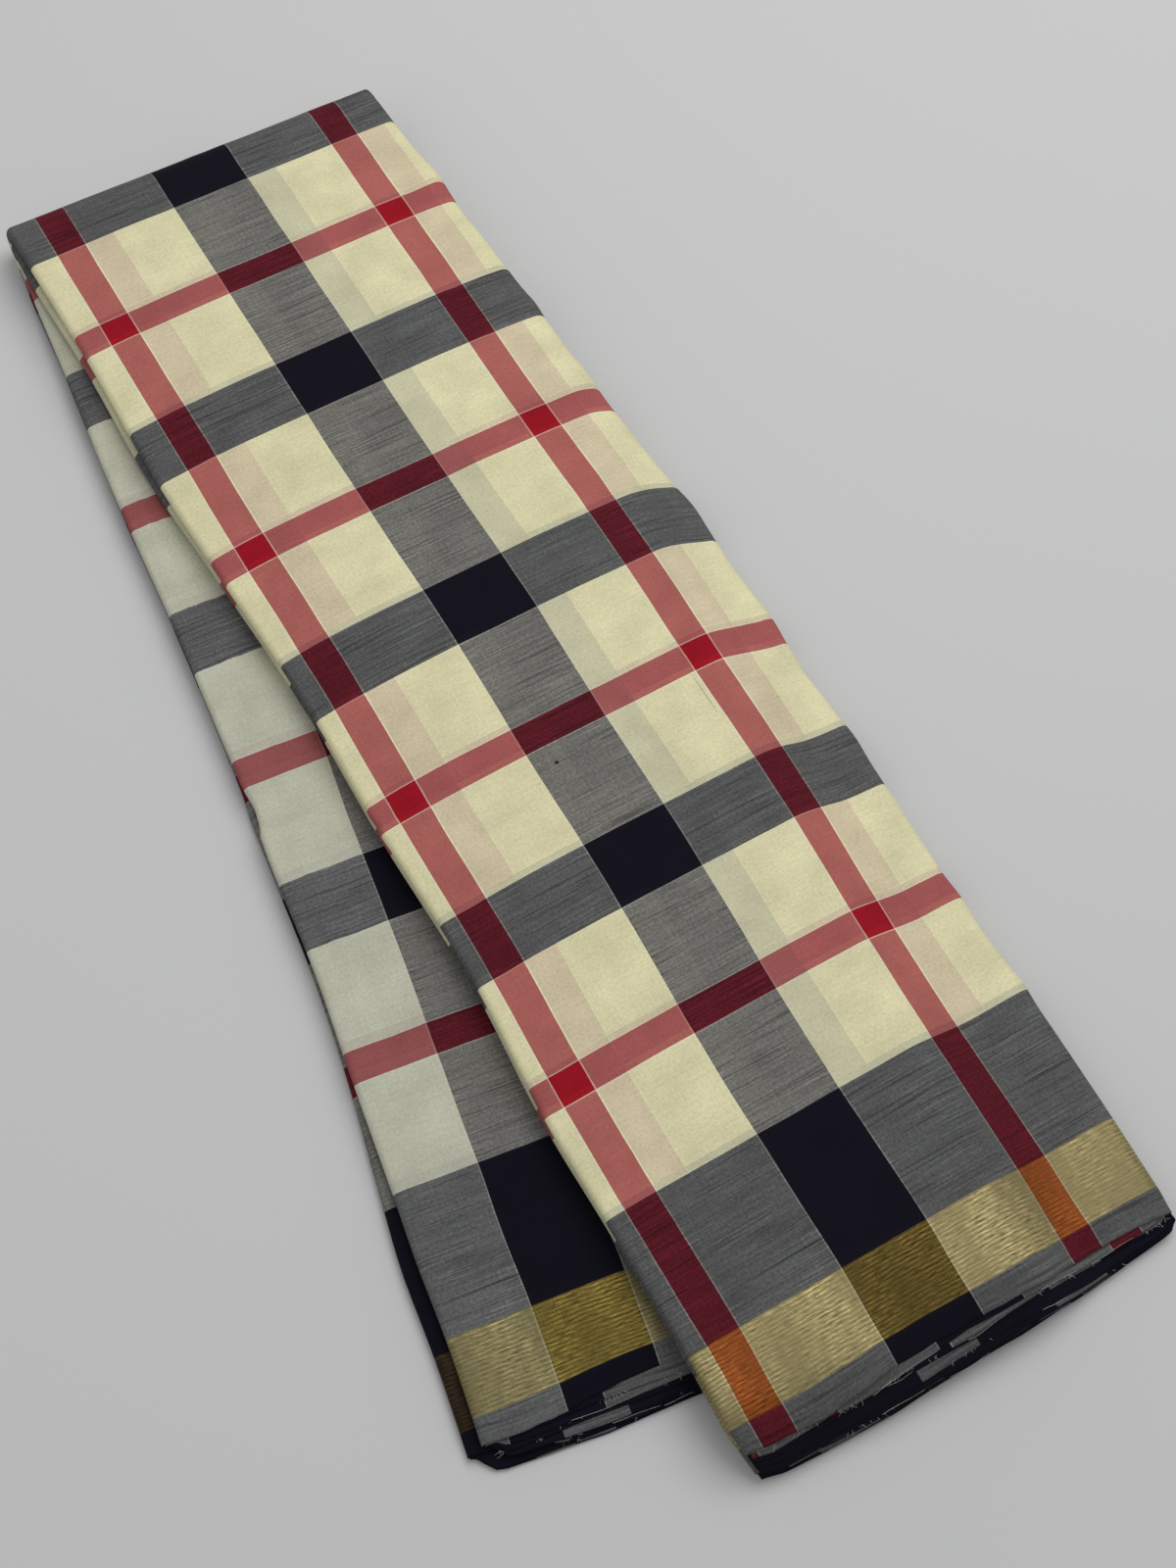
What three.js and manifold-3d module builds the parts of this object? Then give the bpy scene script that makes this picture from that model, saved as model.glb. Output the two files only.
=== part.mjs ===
// A cotton-silk saree as it lies folded on a table. The cloth is pleated back and forth along its
// length into a flat bundle, and the bundle is folded once over its top end. That gives two panels:
// the lower one lies on the table, and the upper one lies on it and slopes down past its edges.
// Units are millimetres, +X runs to the right across the panels, +Y towards the top fold, +Z up.

import * as THREE from "three";
import { mergeVertices } from "three/addons/utils/BufferGeometryUtils.js";
import Module from "manifold-3d";

const wasm = await Module();
wasm.setup();

// ---------------------------------------------------------------- driving dimensions

const WALL = 1.2; // a stretch that shows, with the few plies that cling to it
const GAP = 0.3; // clearance between stretches that touch
const UPPER_THICKNESS = 11.7; // upper panel, pressed at its edges
const LOWER_THICKNESS = 10.3; // lower panel
const LOWER_WIDTH = 172; // lower panel, left roll to right fold
const ROLL_TUCK = 17; // how far a roll's cloth runs back into the bundle
const FOLD_TUCK = 12; // how far the right fold's cloth runs back underneath
const FOLD_REACH = 1.1; // how much further the top fold stands out than it is high
const LEAF = 0.9; // one group of selvedge layers
const LEAF_ROOT = 9; // a leaf starts this far before the front's selvedge
const LEAF_INSET = 3.2; // a leaf stops this far inside the left roll
const LEAF_INSET_RIGHT = 6.5; // and this far inside the right fold
const LEAF_BEHIND_ROLLS = ROLL_TUCK + 1; // or here, at the height where the rolls' cloth runs in
const LAYERS_SHORT = 5; // the solid core stops this far before the front's selvedge

// Where the upper panel starts to sag, beyond the lower one's outline, and where it is down.
const SIDE_SAG_START = 17;
const SIDE_SAG_END = 50;
const END_SAG_START = 8;
const END_SAG_END = 42;

// The upper panel. along: distance from the top fold; left: X of the left roll; width: across the
// panel; slant: degrees by which the weft runs down to the right; lift: how much the loose plies
// raise the middle; peek: how far the second roll stands out past the first.
const UPPER = [
  { along: 0, left: -34.5, width: 170.5, slant: 1.3, lift: 0, peek: 1 },
  { along: 15, left: -33.8, width: 171, slant: 0.8, lift: 0.5, peek: 2 },
  { along: 70, left: -32.5, width: 172.5, slant: 0, lift: 1.8, peek: 1.6 },
  { along: 130, left: -33, width: 176, slant: 0, lift: 3, peek: 1.5 },
  { along: 180, left: -30.5, width: 176.5, slant: 0, lift: 4, peek: 0.5 },
  { along: 255, left: -26.5, width: 179.5, slant: 0, lift: 5, peek: 0 },
  { along: 315, left: -26.5, width: 179.5, slant: 0, lift: 5, peek: 0 },
  { along: 380, left: -24.5, width: 178, slant: 0, lift: 4, peek: 0 },
  { along: 440, left: -27.5, width: 179.5, slant: 0, lift: 2.6, peek: 0 },
  { along: 481, left: -26.8, width: 179.6, slant: 0, lift: 1.6, peek: 0 },
  { along: 537, left: -26.4, width: 178.6, slant: 0.6, lift: 0.6, peek: 0 },
  { along: 560, left: -26.7, width: 178.2, slant: 1, lift: 0.2, peek: 0 },
  { along: 571, left: -24.9, width: 176, slant: 1.3, lift: 0, peek: 0 },
];

// The lower panel, which fans out to the left, in the same columns.
const LOWER = [
  { along: 0, left: -35.2, width: LOWER_WIDTH, slant: 1.3, lift: 0, peek: 0 },
  { along: 20, left: -37.2, width: LOWER_WIDTH, slant: 2.5, lift: 0, peek: 0.6 },
  { along: 62, left: -41.5, width: LOWER_WIDTH, slant: 4, lift: 0, peek: 0 },
  { along: 128, left: -48.7, width: LOWER_WIDTH, slant: 5, lift: 0, peek: 0 },
  { along: 195, left: -54.1, width: LOWER_WIDTH, slant: 5.3, lift: 0, peek: 0 },
  { along: 266, left: -61, width: LOWER_WIDTH, slant: 5.5, lift: 0, peek: 0.6 },
  { along: 281, left: -61.6, width: LOWER_WIDTH, slant: 5.8, lift: 0, peek: 2.5 },
  { along: 298, left: -65.6, width: LOWER_WIDTH, slant: 6.4, lift: 0, peek: 0.6 },
  { along: 349, left: -71.5, width: LOWER_WIDTH, slant: 7.6, lift: 0, peek: 0.8 },
  { along: 389, left: -77.8, width: LOWER_WIDTH, slant: 8.2, lift: 0, peek: 1.5 },
  { along: 432, left: -84.5, width: LOWER_WIDTH, slant: 8.4, lift: 0, peek: 4.2 },
  { along: 459, left: -89, width: LOWER_WIDTH, slant: 8.4, lift: 0, peek: 5.4 },
  { along: 490, left: -93.2, width: LOWER_WIDTH, slant: 8.3, lift: 0, peek: 5.4 },
  { along: 524, left: -98.9, width: LOWER_WIDTH, slant: 8.2, lift: 0, peek: 5.4 },
];

// The groups of layers that step out at the selvedge end, lowest first. height: of the group's
// underside in the bundle; inset: from the left roll; then how far it reaches past the front's
// selvedge at its left end, a quarter across, in the middle, three quarters across and on the right.
const UPPER_LEAVES = [
  { height: 1.65, inset: LEAF_INSET, left: 10, quarter: 11, middle: 9.8, late: 8.5, right: 4.5 },
  { height: 2.9, inset: LEAF_INSET, left: 9.5, quarter: 10, middle: 9, late: 8.8, right: 4 },
  { height: 5.3, inset: LEAF_BEHIND_ROLLS, left: 5, quarter: 8, middle: 8, late: 7, right: 4.5 },
  { height: 7.6, inset: LEAF_INSET, left: 2.5, quarter: 6.5, middle: 7, late: 5, right: 3 },
  { height: 9, inset: LEAF_INSET, left: 4, quarter: 3, middle: 2, late: 3, right: 1.5 },
];
const LOWER_LEAVES = [
  { height: 1.6, inset: LEAF_INSET, left: 8, quarter: 10.5, middle: 10, late: 10, right: 9 },
  { height: 3.5, inset: LEAF_BEHIND_ROLLS, left: 8.5, quarter: 9, middle: 9.5, late: 9, right: 8 },
  { height: 5.3, inset: LEAF_BEHIND_ROLLS, left: 6, quarter: 7.5, middle: 8, late: 7, right: 6 },
  { height: 7.3, inset: LEAF_INSET, left: 3, quarter: 5, middle: 4, late: 4, right: 3 },
];
const UPPER_SECOND_REACH = 6; // how far the upper panel's underside passes the front's selvedge
const LOWER_SECOND_REACH = 3;

const STEP_ALONG = 32; // distance between sections, about
const STEP_AT_END = 10; // and near the selvedge
const END_STRETCH = 45; // length of that stretch
const PAST_END = 20; // the bed under the leaves is worked out this far
const TURN_STEPS = 6; // sections round the top fold
const ROLL_STEPS = 4; // facets round a side roll
const FOLD_STEPS = 5; // facets round the right fold
const UPPER_FACETS = 10; // facets across the upper panel, which bends there
const LOWER_FACETS = 4; // and across the lower one

// ---------------------------------------------------------------- tables and outlines

// A smooth value between the rows of a table, carried on straight past its last row.
function sample(table, column, along) {
  const last = table.length - 1;
  let row = table.findIndex((r) => r.along > along) - 1;
  if (row < 0) row = last - 1;
  const slope = (i) => {
    const a = table[Math.max(i - 1, 0)];
    const b = table[Math.min(i + 1, last)];
    return (b[column] - a[column]) / (b.along - a.along);
  };
  if (along > table[last].along) {
    return table[last][column] + slope(last) * (along - table[last].along);
  }
  const from = table[row];
  const to = table[row + 1];
  const span = to.along - from.along;
  const t = (along - from.along) / span;
  const bend = t * (1 - t) * span;
  const line = from[column] + (to[column] - from[column]) * t;
  const rise = (to[column] - from[column]) / span;
  return line + bend * ((slope(row) - rise) * (1 - t) - (slope(row + 1) - rise) * t);
}

const endOf = (table) => table[table.length - 1].along;

// Where a point of a panel lies on the table: s runs from its left roll along the weft.
function planPoint(table, along, s) {
  const slant = THREE.MathUtils.degToRad(sample(table, "slant", along));
  const left = sample(table, "left", along);
  return new THREE.Vector2(left + s * Math.cos(slant), -along - s * Math.sin(slant));
}

// Distance of a point beyond the straight line from a to b, counted to the left of its direction.
function beyond(point, a, b) {
  const run = b.clone().sub(a).normalize();
  return run.cross(point.clone().sub(a));
}

const lowerEnd = endOf(LOWER) + LOWER_LEAVES[0].quarter;
const lowerTopRight = planPoint(LOWER, 0, LOWER_WIDTH);
const lowerEndRight = planPoint(LOWER, lowerEnd, LOWER_WIDTH);
const lowerEndLeft = planPoint(LOWER, lowerEnd, 0);

// Height of what lies under the upper panel: the lower panel, then a slope down to the table.
function bedHeight(point) {
  const side = beyond(point, lowerTopRight, lowerEndRight);
  const selvedge = beyond(point, lowerEndRight, lowerEndLeft);
  const held =
    (1 - THREE.MathUtils.smoothstep(side, SIDE_SAG_START, SIDE_SAG_END)) *
    (1 - THREE.MathUtils.smoothstep(selvedge, END_SAG_START, END_SAG_END));
  return (LOWER_THICKNESS + GAP) * held;
}

// Even distances from one to another, the last one left out.
function evenSteps(from, to, step) {
  const count = Math.ceil((to - from) / step);
  return Array.from({ length: count }, (_, i) => THREE.MathUtils.lerp(from, to, i / count));
}

// Where a panel's sections lie. Every solid of the panel uses the same ones, so that solids which
// touch have the same facets.
function sectionsOf(start, end, reach, endStretch) {
  return [
    ...evenSteps(start, end - endStretch, STEP_ALONG),
    ...evenSteps(end - endStretch, end - LAYERS_SHORT, STEP_AT_END),
    end - LAYERS_SHORT,
    end,
    end + reach,
  ];
}

const upperSections = sectionsOf(0, endOf(UPPER), UPPER_SECOND_REACH, END_STRETCH);
const lowerSections = sectionsOf(GAP, endOf(LOWER), LOWER_SECOND_REACH, LAYERS_SHORT);

// A distance across a panel as a share of the flat stretch between its roll and its right fold.
function flatShare(s, shape) {
  const radius = shape.thickness / 4;
  return THREE.MathUtils.clamp((s - radius) / (shape.width - 3 * radius), 0, 1);
}

// The bed under the upper panel, in the facets that the panel's solids have.
const bedRows = [...upperSections, endOf(UPPER) + PAST_END].map((along) => {
  const radius = UPPER_THICKNESS / 4;
  const width = sample(UPPER, "width", along);
  const heights = Array.from({ length: UPPER_FACETS + 1 }, (_, k) => {
    const s = THREE.MathUtils.lerp(radius, width - 2 * radius, k / UPPER_FACETS);
    return bedHeight(planPoint(UPPER, along, s));
  });
  return { along, heights };
});

function facetedBed(along, share) {
  const next = Math.max(1, bedRows.findIndex((row) => row.along >= along));
  const [a, b] = [bedRows[next - 1], bedRows[next]];
  const column = Math.min(Math.floor(share * UPPER_FACETS), UPPER_FACETS - 1);
  const across = ({ heights }) =>
    THREE.MathUtils.lerp(heights[column], heights[column + 1], share * UPPER_FACETS - column);
  return THREE.MathUtils.mapLinear(along, a.along, b.along, across(a), across(b));
}

// ---------------------------------------------------------------- stations

// A station is one section across a bundle. Its place() puts a section point into the model. A
// section point has s, its distance from the left roll; level, its share of the bundle's height,
// 0 on the inside of the top fold and 1 on the outside; and off, a further distance outwards.
function thicknessAt(s, shape) {
  const crown = 1 - Math.pow(2 * flatShare(s, shape) - 1, 4);
  return shape.thickness + shape.lift * crown;
}

function upperStation(along) {
  const shape = {
    width: sample(UPPER, "width", along),
    peek: sample(UPPER, "peek", along),
    lift: sample(UPPER, "lift", along),
    thickness: UPPER_THICKNESS,
    facets: UPPER_FACETS,
  };
  const place = ({ s, level, off }) => {
    const plan = planPoint(UPPER, along, s);
    const height = level * thicknessAt(s, shape) + off;
    const bed = facetedBed(along, flatShare(s, shape));
    return new THREE.Vector3(plan.x, plan.y, bed + height);
  };
  return { ...shape, place };
}

// Round the top fold, from the upper panel at angle 0 to the lower one at half a turn.
function turnStation(angle) {
  const share = angle / Math.PI;
  const shape = {
    width: THREE.MathUtils.lerp(UPPER[0].width, LOWER_WIDTH, share),
    peek: THREE.MathUtils.lerp(UPPER[0].peek, LOWER[0].peek, share),
    lift: 0,
    thickness: THREE.MathUtils.lerp(UPPER_THICKNESS, LOWER_THICKNESS, share),
    facets: UPPER_FACETS,
  };
  const left = THREE.MathUtils.lerp(UPPER[0].left, LOWER[0].left, share);
  const slant = THREE.MathUtils.degToRad(UPPER[0].slant);
  const centre = LOWER_THICKNESS + GAP / 2;
  const place = ({ s, level, off }) => {
    const radius = GAP / 2 + level * shape.thickness + off;
    const out = FOLD_REACH * radius * Math.sin(angle);
    return new THREE.Vector3(
      left + s * Math.cos(slant) + out * Math.sin(slant),
      -s * Math.sin(slant) + out * Math.cos(slant),
      centre + radius * Math.cos(angle),
    );
  };
  return { ...shape, place };
}

// On the lower panel level 0 is the face on the table.
function lowerStation(along) {
  const shape = {
    width: LOWER_WIDTH,
    peek: sample(LOWER, "peek", along),
    lift: 0,
    thickness: LOWER_THICKNESS,
    facets: LOWER_FACETS,
  };
  const place = ({ s, level, off }) => {
    const plan = planPoint(LOWER, along, s);
    return new THREE.Vector3(plan.x, plan.y, level * shape.thickness + off);
  };
  return { ...shape, place };
}

// The upper panel's stations from its selvedge end back to the top fold and round it.
function upperRun(end) {
  const panel = upperSections.filter((along) => along <= end).map(upperStation);
  const turn = Array.from({ length: TURN_STEPS }, (_, i) =>
    turnStation((Math.PI * (i + 1)) / TURN_STEPS),
  );
  return [...panel.reverse(), ...turn];
}

const lowerRun = (end) => lowerSections.filter((along) => along <= end).map(lowerStation);

// ---------------------------------------------------------------- sections

// A half circle of section points round the left end of a roll, from its underside to its top.
// level is that of its centre, and shrink is how far inside the roll's outer face it runs.
function rollArc(station, level, shrink, shift) {
  const radius = station.thickness / 4 - GAP / 4;
  const centre = level > 0.5 ? GAP / 4 : -GAP / 4;
  return Array.from({ length: ROLL_STEPS + 1 }, (_, i) => {
    const angle = -Math.PI / 2 + (Math.PI * i) / ROLL_STEPS;
    return {
      s: radius - shift - (radius - shrink) * Math.cos(angle),
      level,
      off: centre + (radius - shrink) * Math.sin(angle),
    };
  });
}

// A half ellipse round the right fold, from the top of the bundle down to its underside.
function foldArc(station, shrink) {
  const radius = station.thickness / 2;
  return Array.from({ length: FOLD_STEPS + 1 }, (_, i) => {
    const angle = Math.PI / 2 - (Math.PI * i) / FOLD_STEPS;
    return {
      s: station.width - radius + (radius - shrink) * Math.cos(angle),
      level: 0.5,
      off: (radius - shrink) * Math.sin(angle),
    };
  });
}

// Points across a panel's flat stretch, from left to right, both ends left out.
function flatRun(station, level, off) {
  const radius = station.thickness / 4;
  return Array.from({ length: station.facets - 1 }, (_, i) => ({
    s: THREE.MathUtils.lerp(radius, station.width - 2 * radius, (i + 1) / station.facets),
    level,
    off,
  }));
}

// The front stretch: out of the bundle, round the first roll, over the panel, round the right
// fold and a little way back underneath.
function frontFace(station, shrink) {
  return [
    { s: ROLL_TUCK, level: 0.5, off: GAP / 2 + shrink },
    ...rollArc(station, 0.75, shrink, 0),
    ...flatRun(station, 1, -shrink),
    ...foldArc(station, shrink),
    { s: station.width - FOLD_TUCK, level: 0, off: shrink },
  ];
}

// The second stretch: out of the bundle, round the second roll and along the panel's other face.
function secondFace(station, shrink) {
  return [
    { s: ROLL_TUCK, level: 0.5, off: -GAP / 2 - shrink },
    ...rollArc(station, 0.25, shrink, station.peek).reverse(),
    ...flatRun(station, 0, shrink),
    { s: station.width - FOLD_TUCK - GAP, level: 0, off: shrink },
  ];
}

const wallLoop = (face) => (station) => [...face(station, 0), ...face(station, WALL).reverse()];

// The hidden layers: one solid inside the two stretches, with a tongue into each roll.
function layersLoop(station) {
  const inside = WALL + GAP;
  const slot = GAP / 2 + inside;
  return [
    { s: ROLL_TUCK + GAP, level: 0.5, off: slot },
    ...rollArc(station, 0.75, inside, 0),
    ...flatRun(station, 1, -inside),
    ...foldArc(station, inside),
    ...flatRun(station, 0, inside).reverse(),
    ...rollArc(station, 0.25, inside, station.peek),
    { s: ROLL_TUCK + GAP, level: 0.5, off: -slot },
  ];
}

// ---------------------------------------------------------------- solids

// The two triangles of a four-sided facet, parted along its higher diagonal, so that two solids
// which lie on each other are parted alike.
function parted([a, b, c, d], points) {
  const ridge = points[a].z + points[c].z >= points[b].z + points[d].z;
  return ridge ? [a, b, c, a, c, d] : [a, b, d, b, c, d];
}

// Triangles over an upright end section, from its outline seen along Y.
function capOf(ring) {
  const outline = ring.map(({ x, z }) => new THREE.Vector2(x, z));
  const faces = THREE.ShapeUtils.triangulateShape(outline, []);
  return THREE.ShapeUtils.isClockWise(outline) ? faces.map((face) => face.reverse()) : faces;
}

// A closed solid from rings of equal length that run the same way round, with its ends filled in.
function solidOf(rings) {
  const size = rings[0].length;
  const points = rings.flat();
  const index = [];
  for (let j = 0; j + 1 < rings.length; j++) {
    for (let i = 0; i < size; i++) {
      const a = j * size + i;
      const b = j * size + ((i + 1) % size);
      index.push(...parted([a, b, b + size, a + size], points));
    }
  }
  const last = (rings.length - 1) * size;
  capOf(rings[0]).forEach(([a, b, c]) => index.push(a, c, b));
  capOf(rings[rings.length - 1]).forEach(([a, b, c]) => index.push(last + a, last + b, last + c));
  const geometry = new THREE.BufferGeometry().setFromPoints(points);
  geometry.setIndex(index);
  return signedVolume(geometry) < 0 ? turnedOut(geometry) : geometry;
}

function signedVolume(geometry) {
  const at = (i) => new THREE.Vector3().fromBufferAttribute(geometry.attributes.position, i);
  const index = geometry.index.array;
  let sum = 0;
  for (let i = 0; i < index.length; i += 3) {
    sum += at(index[i]).dot(at(index[i + 1]).cross(at(index[i + 2])));
  }
  return sum / 6;
}

function turnedOut(geometry) {
  geometry.setIndex(Array.from(geometry.index.array).reverse());
  return geometry;
}

// A section swept through its stations.
function sweep(stations, loopAt) {
  return solidOf(stations.map((station) => loopAt(station).map(station.place)));
}

// How far a leaf reaches past the front's selvedge, at a share of the way across.
function reachAt(leaf, share) {
  const reaches = [leaf.left, leaf.quarter, leaf.middle, leaf.late, leaf.right];
  const at = share * (reaches.length - 1);
  const from = Math.min(Math.floor(at), reaches.length - 2);
  return THREE.MathUtils.lerp(reaches[from], reaches[from + 1], at - from);
}

// One group of selvedge layers: a thin slab rooted in the bundle, with an uneven free edge.
function leafSolid(stationAt, end, leaf) {
  const { facets } = stationAt(end);
  const ring = (before, share, off) =>
    Array.from({ length: facets + 1 }, (_, i) => {
      const station = stationAt(end - before + share * reachAt(leaf, i / facets));
      const inner = flatRun(station, 0, 0).map(({ s }) => s);
      const s = [leaf.inset, ...inner, station.width - LEAF_INSET_RIGHT][i];
      return station.place({ s, level: 0, off });
    });
  const sections = [
    { before: LEAF_ROOT, share: 0 },
    { before: LAYERS_SHORT - GAP, share: 0 },
    { before: 0, share: 0 },
    { before: 0, share: 0.5 },
    { before: 0, share: 1 },
  ].map(({ before, share }) => [
    ...ring(before, share, leaf.height),
    ...ring(before, share, leaf.height + LEAF).reverse(),
  ]);
  return solidOf(sections);
}

function manifoldOf(geometry) {
  const merged = mergeVertices(geometry, 1e-5);
  return new wasm.Manifold(
    new wasm.Mesh({
      numProp: 3,
      vertProperties: new Float32Array(merged.attributes.position.array),
      triVerts: new Uint32Array(merged.index.array),
    }),
  );
}

function geometryOf(manifold) {
  const mesh = manifold.getMesh();
  const geometry = new THREE.BufferGeometry();
  geometry.setAttribute("position", new THREE.BufferAttribute(mesh.vertProperties, 3));
  geometry.setIndex(new THREE.BufferAttribute(mesh.triVerts, 1));
  return geometry;
}

// The hidden layers of a panel, with their leaves stepped out at the selvedge end.
function layersSolid(stations, stationAt, end, leaves) {
  let solid = manifoldOf(sweep(stations, layersLoop));
  leaves.forEach((leaf) => {
    solid = solid.add(manifoldOf(leafSolid(stationAt, end, leaf)));
  });
  return geometryOf(solid);
}

// ---------------------------------------------------------------- the saree

const CREAM = { color: "#d8d4a8", roughness: 0.7, metalness: 0 };
const GREY = { color: "#6b6c6e", roughness: 0.7, metalness: 0 };
const NAVY = { color: "#1a1622", roughness: 0.7, metalness: 0 };

function clothMesh(name, geometry, finish) {
  geometry.computeVertexNormals();
  const mesh = new THREE.Mesh(geometry, new THREE.MeshStandardMaterial(finish));
  mesh.name = name;
  return mesh;
}

const upperEnd = endOf(UPPER);
const lowerFrontEnd = endOf(LOWER);
const frontLoop = wallLoop(frontFace);
const secondLoop = wallLoop(secondFace);

const saree = new THREE.Group();
saree.name = "folded_saree";
saree.add(
  clothMesh("upper_front", sweep(upperRun(upperEnd), frontLoop), CREAM),
  clothMesh(
    "upper_second_stretch",
    sweep(upperRun(upperEnd + UPPER_SECOND_REACH), secondLoop),
    GREY,
  ),
  clothMesh(
    "upper_hidden_layers",
    layersSolid(upperRun(upperEnd - LAYERS_SHORT), upperStation, upperEnd, UPPER_LEAVES),
    NAVY,
  ),
  clothMesh("lower_front", sweep(lowerRun(lowerFrontEnd), frontLoop), CREAM),
  clothMesh(
    "lower_second_stretch",
    sweep(lowerRun(lowerFrontEnd + LOWER_SECOND_REACH), secondLoop),
    GREY,
  ),
  clothMesh(
    "lower_hidden_layers",
    layersSolid(
      lowerRun(lowerFrontEnd - LAYERS_SHORT),
      lowerStation,
      lowerFrontEnd,
      LOWER_LEAVES,
    ),
    NAVY,
  ),
);

// The origin is the middle of the footprint, on the table.
const box = new THREE.Box3().setFromObject(saree);
const middle = box.getCenter(new THREE.Vector3());
saree.children.forEach((mesh) => mesh.geometry.translate(-middle.x, -middle.y, -box.min.z));

export default saree;
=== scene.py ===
"""A cotton-silk saree, pleated into a flat bundle and folded once over its top end.

Each stretch of cloth that shows is a thin shell on its solid's form. The hidden layers of a panel
are one long sheet, pleated back and forth, whose selvedges step out at the open end. Sizes are
millimetres on the table, with +X to the right across the panels and +Y towards the top fold, and
they become metres where a mesh is made.
"""

import logging
import math
import random
from collections.abc import Callable, Sequence
from dataclasses import dataclass, replace
from enum import Enum
from functools import partial
from typing import NamedTuple

import bpy
from mathutils import Matrix, Vector, noise

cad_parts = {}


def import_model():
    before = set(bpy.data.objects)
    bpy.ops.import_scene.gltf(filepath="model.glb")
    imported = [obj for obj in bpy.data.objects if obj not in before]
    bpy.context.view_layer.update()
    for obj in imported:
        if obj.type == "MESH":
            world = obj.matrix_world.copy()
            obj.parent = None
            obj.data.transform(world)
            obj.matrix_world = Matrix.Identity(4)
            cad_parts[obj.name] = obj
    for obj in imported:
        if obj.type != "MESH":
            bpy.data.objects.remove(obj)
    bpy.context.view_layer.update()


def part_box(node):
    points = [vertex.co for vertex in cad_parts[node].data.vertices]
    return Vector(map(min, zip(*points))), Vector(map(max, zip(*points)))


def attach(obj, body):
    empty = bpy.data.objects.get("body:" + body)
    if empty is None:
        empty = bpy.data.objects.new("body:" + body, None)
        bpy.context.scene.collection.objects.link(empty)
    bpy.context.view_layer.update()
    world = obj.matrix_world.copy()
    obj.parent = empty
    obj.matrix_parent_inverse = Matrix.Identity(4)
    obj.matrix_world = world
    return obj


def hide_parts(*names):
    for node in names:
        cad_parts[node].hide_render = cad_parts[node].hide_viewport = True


LOG = logging.getLogger("folded_saree")
MM = 0.001
FLAT_SIZE = "%s: %.3f x %.3f m"

# ---------------------------------------------------------------- driving dimensions

GAP = 0.3  # clearance between stretches that touch
CLOTH = 0.42  # thickness of the cloth that shows
PLY = 0.36  # thickness of a hidden layer
UPPER_THICKNESS = 11.7
LOWER_THICKNESS = 10.3
LOWER_WIDTH = 172.0
ROLL_TUCK = 17.0  # how far a roll's cloth runs back into the bundle
TUCK_START = 4.5  # where that cloth parts from the roll
FOLD_TUCK = 12.0  # how far the right fold's cloth runs back underneath
UPPER_SECOND_REACH = 6.0  # how far the upper panel's underside passes the front's selvedge
LOWER_SECOND_REACH = 3.0
SIDE_SAG = (17.0, 50.0)  # the upper panel sags between these distances beyond the lower one
END_SAG = (8.0, 42.0)
FOLD_REACH = 1.1  # how much further the top fold stands out than it is high
EAR = (1.8, 26.0)  # depth of the right fold at the top corner, and where it is at its full depth
STEP = 3.0  # distance between the rows of a cloth's mesh
CROWN = 4  # power that keeps the upper panel's middle level before it falls to its edges


class Row(NamedTuple):
    """One section of a panel.

    along: distance from the top fold. left: X of the left roll. width: across the panel. slant:
    degrees by which the weft runs down to the right. lift: how much the loose plies raise the
    middle. peek: how far the second roll stands out past the first. slip: how far the weft has
    moved round the left roll, since its lines run straighter than the roll does.
    """

    along: float
    left: float
    width: float
    slant: float
    lift: float
    peek: float
    slip: float


class Leaf(NamedTuple):
    """How far one ply reaches past the front's selvedge, from left to right, in mm.

    Plies count from the lowest one, and those between two rows reach in between.
    """

    ply: int
    left: float
    quarter: float
    middle: float
    late: float
    right: float


UPPER_ROWS = (
    Row(0, -34.5, 170.5, 1.3, 0, 1, -6.3),
    Row(15, -33.8, 171, 0.8, 0.5, 2, -5.6),
    Row(70, -32.5, 172.5, 0, 1.8, 1.6, -4.8),
    Row(130, -33, 176, 0, 3, 1.5, -5.8),
    Row(180, -30.5, 176.5, 0, 4, 0.5, -3.7),
    Row(255, -26.5, 179.5, 0, 5, 0, -1.4),
    Row(315, -26.5, 179.5, 0, 5, 0, -1),
    Row(380, -24.5, 178, 0, 4, 0, 0.5),
    Row(440, -27.5, 179.5, 0, 2.6, 0, -0.9),
    Row(481, -26.8, 179.6, 0, 1.6, 0, -0.2),
    Row(537, -26.4, 178.6, 0.6, 0.6, 0, -0.6),
    Row(560, -26.7, 178.2, 1, 0.2, 0, -0.2),
    Row(571, -24.9, 176, 1.3, 0, 0, 0.8),
)
LOWER_ROWS = (
    Row(0, -35.2, LOWER_WIDTH, 1.3, 0, 0, -3.1),
    Row(20, -37.2, LOWER_WIDTH, 2.5, 0, 0.6, -3.1),
    Row(62, -41.5, LOWER_WIDTH, 4, 0, 0, -3.1),
    Row(128, -48.7, LOWER_WIDTH, 5, 0, 0, -3.1),
    Row(195, -54.1, LOWER_WIDTH, 5.3, 0, 0, -3.1),
    Row(266, -61, LOWER_WIDTH, 5.5, 0, 0.6, -2.9),
    Row(281, -61.6, LOWER_WIDTH, 5.8, 0, 2.5, -1),
    Row(298, -65.6, LOWER_WIDTH, 6.4, 0, 0.6, -2),
    Row(349, -71.5, LOWER_WIDTH, 7.6, 0, 0.8, -0.6),
    Row(389, -77.8, LOWER_WIDTH, 8.2, 0, 1.5, -0.3),
    Row(432, -84.5, LOWER_WIDTH, 8.4, 0, 4.2, -0.1),
    Row(459, -89, LOWER_WIDTH, 8.4, 0, 5.4, 0),
    Row(490, -93.2, LOWER_WIDTH, 8.3, 0, 5.4, 0.2),
    Row(524, -98.9, LOWER_WIDTH, 8.2, 0, 5.4, 0.2),
)
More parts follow.
